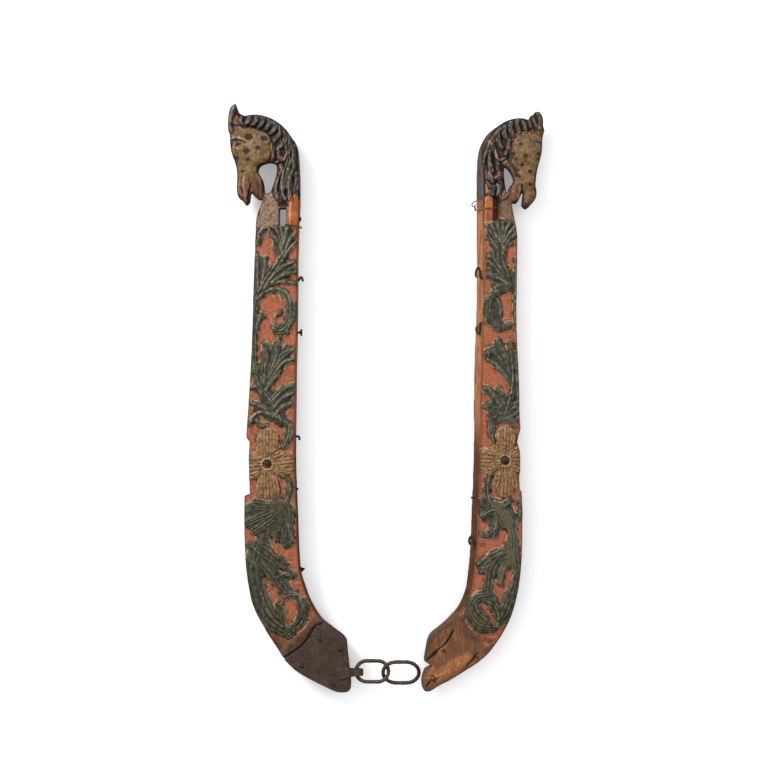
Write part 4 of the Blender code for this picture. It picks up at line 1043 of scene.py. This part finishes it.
class Shader:
    """A small builder of node graphs round one Principled BSDF."""

    def __init__(self, name):
        self.material = bpy.data.materials.new(name)
        self.material.use_nodes = True
        self.tree = self.material.node_tree
        self.nodes = self.tree.nodes
        self.bsdf = self.nodes["Principled BSDF"]
        self.where = self.nodes.new("ShaderNodeTexCoord").outputs["Object"]

    def link(self, value, socket):
        """Joins a socket, or sets a plain value."""
        if isinstance(value, bpy.types.NodeSocket):
            self.tree.links.new(value, socket)
        else:
            socket.default_value = value

    def set(self, **values):
        """Sets sockets of the BSDF. An underscore stands for a space."""
        for name, value in values.items():
            self.link(value, self.bsdf.inputs[name.replace("_", " ")])

    def node(self, kind, output, inputs, **settings):
        """A new node with its settings and inputs, and one of its outputs."""
        node = self.nodes.new("ShaderNode" + kind)
        for name, value in settings.items():
            setattr(node, name, value)
        for name, value in inputs.items():
            self.link(value, node.inputs[name])
        return node.outputs[output]

    def noise(self, size_mm, detail=3.0, rough=0.55, scale=(1, 1, 1), twist=0.0):
        """Noise from 0 to 1 with features of about that size."""
        where = self.node("Mapping", "Vector", {"Vector": self.where, "Scale": scale})
        return self.node("TexNoise", "Fac", {
            "Vector": where, "Scale": 1.0 / (size_mm * MM), "Detail": detail, "Roughness": rough,
            "Distortion": twist})

    def attribute(self, name):
        return self.node("Attribute", "Fac", {}, attribute_name=name)

    def times(self, a, b):
        return self.node("Math", 0, {0: a, 1: b}, operation="MULTIPLY")

    def plus(self, a, b):
        return self.node("Math", 0, {0: a, 1: b}, operation="ADD")

    def minus(self, a, b):
        return self.node("Math", 0, {0: a, 1: b}, operation="SUBTRACT")

    def larger(self, a, b):
        return self.node("Math", 0, {0: a, 1: b}, operation="MAXIMUM")

    def band(self, value, low, high, to_low=0.0, to_high=1.0):
        """A smooth step of a value between two levels."""
        return self.node("MapRange", "Result", {
            "Value": value, "From Min": low, "From Max": high, "To Min": to_low, "To Max": to_high,
        }, interpolation_type="SMOOTHSTEP")

    def mix(self, share, a, b):
        """A colour between a and b."""
        return self.node("Mix", "Result", {"Factor": share, "A": a, "B": b}, data_type="RGBA")

    def number(self, share, a, b):
        """A number between a and b."""
        return self.node("Mix", "Result", {"Factor": share, "A": a, "B": b}, data_type="FLOAT")

    def over(self, under, share, strength, colour):
        """A colour laid over another, by a share times a strength."""
        return self.mix(self.times(share, strength), under, colour)

    def layer(self, under, share, dark, light, vary):
        """A coat of paint over a colour. It varies between dark and light, as screen values."""
        return self.mix(share, under, self.mix(vary, srgb(*dark), srgb(*light)))

    def bump(self, *layers):
        """Layers of (height socket, distance in mm), chained."""
        normal = {}
        for height, distance in layers:
            made = self.node("Bump", "Normal", {"Height": height, "Distance": distance * MM, **normal})
            normal = {"Normal": made}
        self.set(**normal)


def painted_wood():
    """Old oil paint and varnish over carved wood, worn at the ridges, with dirt and painted shade in the
    hollows.
    """
    s = Shader("painted_wood")
    attribute, band, times = s.attribute, s.band, s.times
    broad = s.noise(14.0, 3.0)
    patchy = s.noise(4.5, 4.0, 0.65)
    speckle = s.noise(1.1, 2.0, 0.6)
    fine = s.noise(0.45, 2.0)
    grain = s.noise(2.2, 4.0, 0.6, (1.0, 1.0, 0.09), 0.4)
    flecks = band(s.noise(1.9, 2.0), 0.56, 0.66)
    ragged = s.plus(times(s.minus(patchy, 0.5), 0.55), times(s.minus(speckle, 0.5), 0.35))
    vary_broad = band(broad, 0.35, 0.65)
    vary_patch = band(patchy, 0.36, 0.64)
    vary_fine = band(speckle, 0.35, 0.65)
    vary_grain = band(grain, 0.36, 0.64)

    def mask(name, low=0.42, high=0.58):
        """A painted part, with the ragged edge of worn paint."""
        return band(s.plus(attribute(name), ragged), low, high)

    # The bare sides, darker towards the foot, and the back.
    low = s.mix(vary_grain, srgb(60, 32, 10), srgb(126, 74, 28))
    high = s.mix(vary_grain, srgb(128, 70, 34), srgb(204, 134, 82))
    high = s.over(high, vary_broad, 0.5, srgb(218, 156, 110))
    height = s.node("SeparateXYZ", "Z", {"Vector": s.where})
    colour = s.mix(band(height, *SIDE_FADE), low, high)
    colour = s.layer(colour, attribute("back"), (96, 64, 40), (140, 98, 62), vary_grain)

    # The front's ground, its red paint, and the unpainted foot.
    ground = s.mix(vary_patch, srgb(140, 78, 48), srgb(192, 112, 72))
    ground = s.over(ground, vary_fine, 0.4, srgb(126, 76, 46))
    ground = s.over(ground, flecks, 0.45, srgb(210, 150, 112))
    colour = s.mix(attribute("front"), colour, ground)
    colour = s.layer(colour, mask("red"), (156, 76, 52), (196, 116, 84), vary_fine)
    bare = s.mix(band(grain, 0.25, 0.75), srgb(98, 66, 44), srgb(158, 104, 66))
    bare = s.over(bare, vary_broad, 0.6, srgb(110, 72, 50))
    colour = s.mix(band(s.plus(attribute("carved"), ragged), 0.6, 0.4), colour, bare)
    colour = s.layer(colour, attribute("brown"), (70, 44, 29), (112, 72, 46), vary_patch)
    colour = s.layer(colour, attribute("bare"), (160, 98, 56), (206, 136, 84), vary_patch)

    # Rosettes, hair, the glossy post, the neck's plain sides, the face, panel and jaw.
    colour = s.layer(colour, mask("flower"), (118, 84, 50), (164, 124, 82), vary_patch)
    hair = s.larger(attribute("mane"), attribute("head"))
    colour = s.layer(colour, hair, (34, 27, 22), (66, 54, 46), vary_patch)
    colour = s.layer(colour, mask("gloss"), (150, 74, 32), (192, 110, 58), vary_broad)
    plain_neck = times(times(attribute("head"), attribute("wall")), 0.75)
    colour = s.layer(colour, plain_neck, (84, 72, 65), (134, 118, 108), vary_grain)
    colour = s.layer(colour, mask("face"), (94, 68, 40), (146, 110, 66), vary_patch)
    panel = s.mix(vary_patch, srgb(104, 82, 62), srgb(160, 132, 108))
    panel = s.over(panel, flecks, 0.7, srgb(200, 170, 142))
    panel = s.over(panel, band(speckle, 0.55, 0.68), 0.6, srgb(62, 50, 40))
    colour = s.mix(mask("panel"), colour, panel)
    colour = s.layer(colour, attribute("jaw"), (72, 38, 26), (134, 80, 52), vary_grain)

    # Leaves.
    foliage = s.mix(vary_patch, srgb(36, 40, 25), srgb(76, 74, 52))
    foliage = s.over(foliage, band(broad, 0.5, 0.66), 0.5, srgb(82, 66, 46))
    foliage = s.over(foliage, flecks, 0.35, srgb(108, 104, 84))
    foliage = s.over(foliage, attribute("faded"), 0.5, srgb(118, 104, 76))
    colour = s.mix(mask("leaf"), colour, foliage)
    colour = s.layer(colour, mask("pink"), (150, 82, 66), (206, 140, 118), vary_fine)

    # Dirt and painted shade in the hollows, and wear on the crests, along pale lines and round the leaves.
    hollow = times(attribute("hollow"), 0.92)
    colour = s.mix(hollow, colour, srgb(24, 17, 11))
    broken = band(s.plus(patchy, times(speckle, 0.6)), 0.70, 0.90)
    dark_paint = s.larger(attribute("leaf"), attribute("mane"))
    worn = s.mix(dark_paint, srgb(206, 158, 112), srgb(138, 130, 104))
    worn = s.mix(attribute("head"), worn, srgb(152, 132, 116))
    colour = s.over(colour, times(attribute("crest"), broken), 0.7, worn)
    pale = times(attribute("pale"), band(patchy, 0.38, 0.60, 0.15, 1.0))
    colour = s.mix(pale, colour, s.mix(dark_paint, srgb(216, 172, 136), srgb(166, 156, 132)))
    outline = times(attribute("outline"), band(s.noise(7.0, 3.0), 0.46, 0.56))
    colour = s.over(colour, outline, 0.8, srgb(218, 168, 134))

    # Edges darkened by dirt and painted shade, cuts and cracks, painted shade at the slots, brown spots, and
    # specks.
    edge_dirt_and_shade = times(attribute("edge"), band(patchy, 0.36, 0.60, 0.45, 1.0))
    colour = s.over(colour, edge_dirt_and_shade, 0.8, srgb(44, 28, 18))
    dark_marks_and_shade = s.plus(attribute("dark"), times(ragged, 1.6))
    colour = s.mix(band(dark_marks_and_shade, 0.42, 0.58), colour, srgb(30, 23, 19))
    spot = times(mask("spot", 0.35, 0.75), 0.9)
    colour = s.mix(spot, colour, srgb(38, 29, 23))
    colour = s.over(colour, band(s.noise(1.6, 1.0), 0.66, 0.72), 0.6, srgb(48, 34, 26))

    gloss = s.number(vary_patch, 0.50, 0.34)
    gloss = s.number(attribute("back"), gloss, 0.72)
    gloss = s.number(attribute("gloss"), gloss, 0.24)
    gloss = s.number(s.larger(hollow, spot), gloss, 0.8)
    s.set(Base_Color=colour, Roughness=gloss, Specular_IOR_Level=0.4)
    s.bump((patchy, 0.5), (speckle, 0.25), (fine, 0.08), (grain, 0.25))
    return s.material


def rusty_sheet():
    """Brown, pitted sheet iron."""
    s = Shader("rusty_sheet_iron")
    broad = s.noise(18.0, 4.0, 0.6)
    patchy = s.noise(3.2, 5.0, 0.7)
    fine = s.noise(0.7, 3.0, 0.6)
    cells = s.node("TexVoronoi", "Distance", {"Vector": s.where, "Scale": 1.0 / (2.4 * MM)})
    pits = s.band(cells, 0.16, 0.05)
    colour = s.mix(s.band(patchy, 0.35, 0.65), srgb(64, 49, 41), srgb(92, 72, 59))
    colour = s.over(colour, s.band(broad, 0.45, 0.65), 0.45, srgb(112, 80, 60))
    colour = s.over(colour, s.band(fine, 0.56, 0.70), 0.6, srgb(116, 94, 76))
    colour = s.over(colour, s.band(s.noise(1.3, 2.0), 0.62, 0.70), 0.4, srgb(138, 118, 100))
    colour = s.over(colour, pits, 0.7, srgb(30, 22, 18))
    s.set(Base_Color=colour, Roughness=s.number(s.band(patchy, 0.4, 0.6), 0.62, 0.44), Metallic=0.35)
    s.bump((patchy, 0.35), (fine, 0.14), (s.minus(1.0, pits), 0.20))
    return s.material


def forged_iron(name, dark, light, rust):
    """Old wrought iron with a brown skin and rubbed high spots."""
    s = Shader(name)
    patchy = s.noise(1.8, 4.0, 0.65)
    fine = s.noise(0.5, 3.0)
    colour = s.mix(s.band(patchy, 0.36, 0.64), srgb(*dark), srgb(*light))
    colour = s.over(colour, s.band(fine, 0.5, 0.68), 0.6, srgb(*rust))
    s.set(Base_Color=colour, Roughness=s.number(patchy, 0.62, 0.38), Metallic=0.5)
    s.bump((patchy, 0.22), (fine, 0.08))
    return s.material


def stage_material(name, colour):
    """A pale surface that is clear when seen from behind, so it never hides the object.

    The camera sees it glowing evenly, with a painted soft shadow of contact near the object. It
    throws some light on the object, and mirrors see it grey.
    """
    s = Shader(name)
    tint = s.mix(s.noise(400.0, 1.0), colour, tuple(0.985 * value for value in colour[:3]) + (1.0,))
    path = s.nodes.new("ShaderNodeLightPath").outputs
    seen = path["Is Camera Ray"]
    # Ambient occlusion dims the wall's glow near the object: a painted contact shadow.
    near = s.node("AmbientOcclusion", "AO", {"Distance": CONTACT_REACH}, samples=8)
    glow_with_painted_shadow = s.times(s.times(near, WALL_GLOW), seen)
    bounced = s.times(path["Is Diffuse Ray"], BOUNCED_GLOW)
    s.set(Base_Color=s.mix(seen, srgb(120, 120, 122), tint), Roughness=0.9, Specular_IOR_Level=0.0,
          Emission_Color=tint, Emission_Strength=s.plus(glow_with_painted_shadow, bounced))
    clear = s.node("BsdfTransparent", "BSDF", {})
    behind = s.node("NewGeometry", "Backfacing", {})
    shown = s.node("MixShader", "Shader", {"Fac": behind, 1: s.bsdf.outputs["BSDF"], 2: clear})
    s.link(shown, s.nodes["Material Output"].inputs["Surface"])
    return s.material


# ---------------------------------------------------------------------------
# Ironwork
# ---------------------------------------------------------------------------
def make_iron(node, body, material, cell, rounds, dent, dent_size, swell=0.0):
    """A finer, slightly uneven copy of an iron piece: dented by dent, fuller by swell."""
    piece = remeshed(node, f"{node}_forged", cell, rounds)
    points = vertex_values(piece.data, "co") / MM
    push = lattice_noise(points, dent_size, 21) + 0.5 * lattice_noise(points, dent_size / 2.5, 22) - 0.75
    normal = vertex_values(piece.data, "normal")
    move_to(piece.data, points + normal * (push * dent + swell)[:, None])
    finish_piece(piece, node, body, material)


def make_ironwork():
    sheet = rusty_sheet()
    link_iron = forged_iron("link_iron", (56, 44, 36), (110, 92, 76), (132, 92, 60))
    small_iron = forged_iron("small_iron", (26, 22, 20), (72, 64, 58), (96, 62, 42))
    wire = forged_iron("binding_wire", (58, 48, 38), (130, 114, 90), (96, 66, 42))
    make_iron("left_foot_shoe", "left_half", sheet, 0.55, 3, 0.45, 9.0)
    for number in (1, 2):
        make_iron(f"chain_link_{number}", f"link_{number}", link_iron, 0.35, 3, 0.3, 5.0)
    small = {
        "left": ("rosette_bolt", "bolt_rove", "post_tack", "shoe_nail_1", "shoe_nail_2", "shoe_nail_3",
                 "shoe_nail_4", "edge_tack_1", "edge_tack_2", "edge_tack_3", "edge_tack_4", "edge_tack_5"),
        "right": ("rosette_bolt", "bolt_rove", "edge_stub", "edge_hook_1", "edge_hook_2", "edge_hook_3",
                  "foot_nail_1", "foot_nail_2"),
    }
    for side, names in small.items():
        for name in names:
            # Rust fattens the thin hooks and tacks.
            swell = 0.35 if name.startswith(("edge_hook", "edge_tack")) else 0.0
            make_iron(f"{side}_{name}", f"{side}_half", small_iron, 0.25, 2, 0.18, 2.0, swell)
    for side in small:
        make_iron(f"{side}_post_wire", f"{side}_half", wire, 0.22, 1, 0.05, 1.5, 0.15)


# ---------------------------------------------------------------------------
# Stage, light and camera
# ---------------------------------------------------------------------------
def add_to_scene(name, data, place):
    thing = bpy.data.objects.new(name, data)
    thing.location = place
    bpy.context.scene.collection.objects.link(thing)
    return thing


def make_sheet(name, corners, pale):
    mesh = bpy.data.meshes.new(name)
    mesh.from_pydata(corners, [], [(0, 1, 2, 3)])
    mesh.materials.append(stage_material(f"{name}_paper", pale))
    add_to_scene(name, mesh, (0.0, 0.0, 0.0))


def make_lamp(name, place, size, power):
    data = bpy.data.lights.new(name, "AREA")
    data.shape = "DISK"
    data.size = size
    data.energy = power
    lamp = add_to_scene(name, data, place)
    lamp.rotation_euler = (Vector(AIM) - Vector(place)).to_track_quat("-Z", "Y").to_euler()


def make_world(pale):
    """A pale world to the camera, and a dimmer light to everything else."""
    world = bpy.data.worlds.new("studio")
    world.use_nodes = True
    tree = world.node_tree
    backdrop = tree.nodes["Background"]
    backdrop.inputs["Color"].default_value = pale
    strength = tree.nodes.new("ShaderNodeMapRange")
    strength.inputs["To Min"].default_value = WORLD_LIGHT
    seen = tree.nodes.new("ShaderNodeLightPath").outputs["Is Camera Ray"]
    tree.links.new(seen, strength.inputs["Value"])
    tree.links.new(strength.outputs["Result"], backdrop.inputs["Strength"])
    bpy.context.scene.world = world


def make_stage():
    pale = srgb(250, 250, 251)
    far = STAGE_HALF
    make_sheet("wall", [(-far, WALL_Y, FLOOR_Z), (far, WALL_Y, FLOOR_Z), (far, WALL_Y, STAGE_TOP),
                        (-far, WALL_Y, STAGE_TOP)], pale)
    make_sheet("floor", [(-far, -far, FLOOR_Z), (far, -far, FLOOR_Z), (far, WALL_Y, FLOOR_Z),
                         (-far, WALL_Y, FLOOR_Z)], pale)
    make_world(pale)
    make_lamp("key", KEY_PLACE, KEY_SIZE, KEY_POWER)
    make_lamp("fill", FILL_PLACE, FILL_SIZE, FILL_POWER)
    bpy.context.scene.view_settings.view_transform = "Standard"


def make_camera():
    data = bpy.data.cameras.new("camera")
    data.lens = LENS_MM
    data.sensor_width = SENSOR_MM
    camera = add_to_scene("camera", data, CAMERA_PLACE)
    camera.rotation_euler = (math.radians(90.0), 0.0, 0.0)
    bpy.context.scene.camera = camera


def main():
    left = (LEFT_BEDS, LEFT_LEAVES, LEFT_ROSETTE, LEFT_PETALS, LEFT_HEAD, LEFT_PAINT)
    right = (RIGHT_BEDS, RIGHT_LEAVES, RIGHT_ROSETTE, RIGHT_PETALS, RIGHT_HEAD, RIGHT_PAINT)
    make_hame("left", -1, left, 0.0)
    make_hame("right", 1, right, RIGHT_SLOT_LEAN)
    make_ironwork()
    make_stage()
    make_camera()


PAINTED_WOOD = painted_wood()
main()
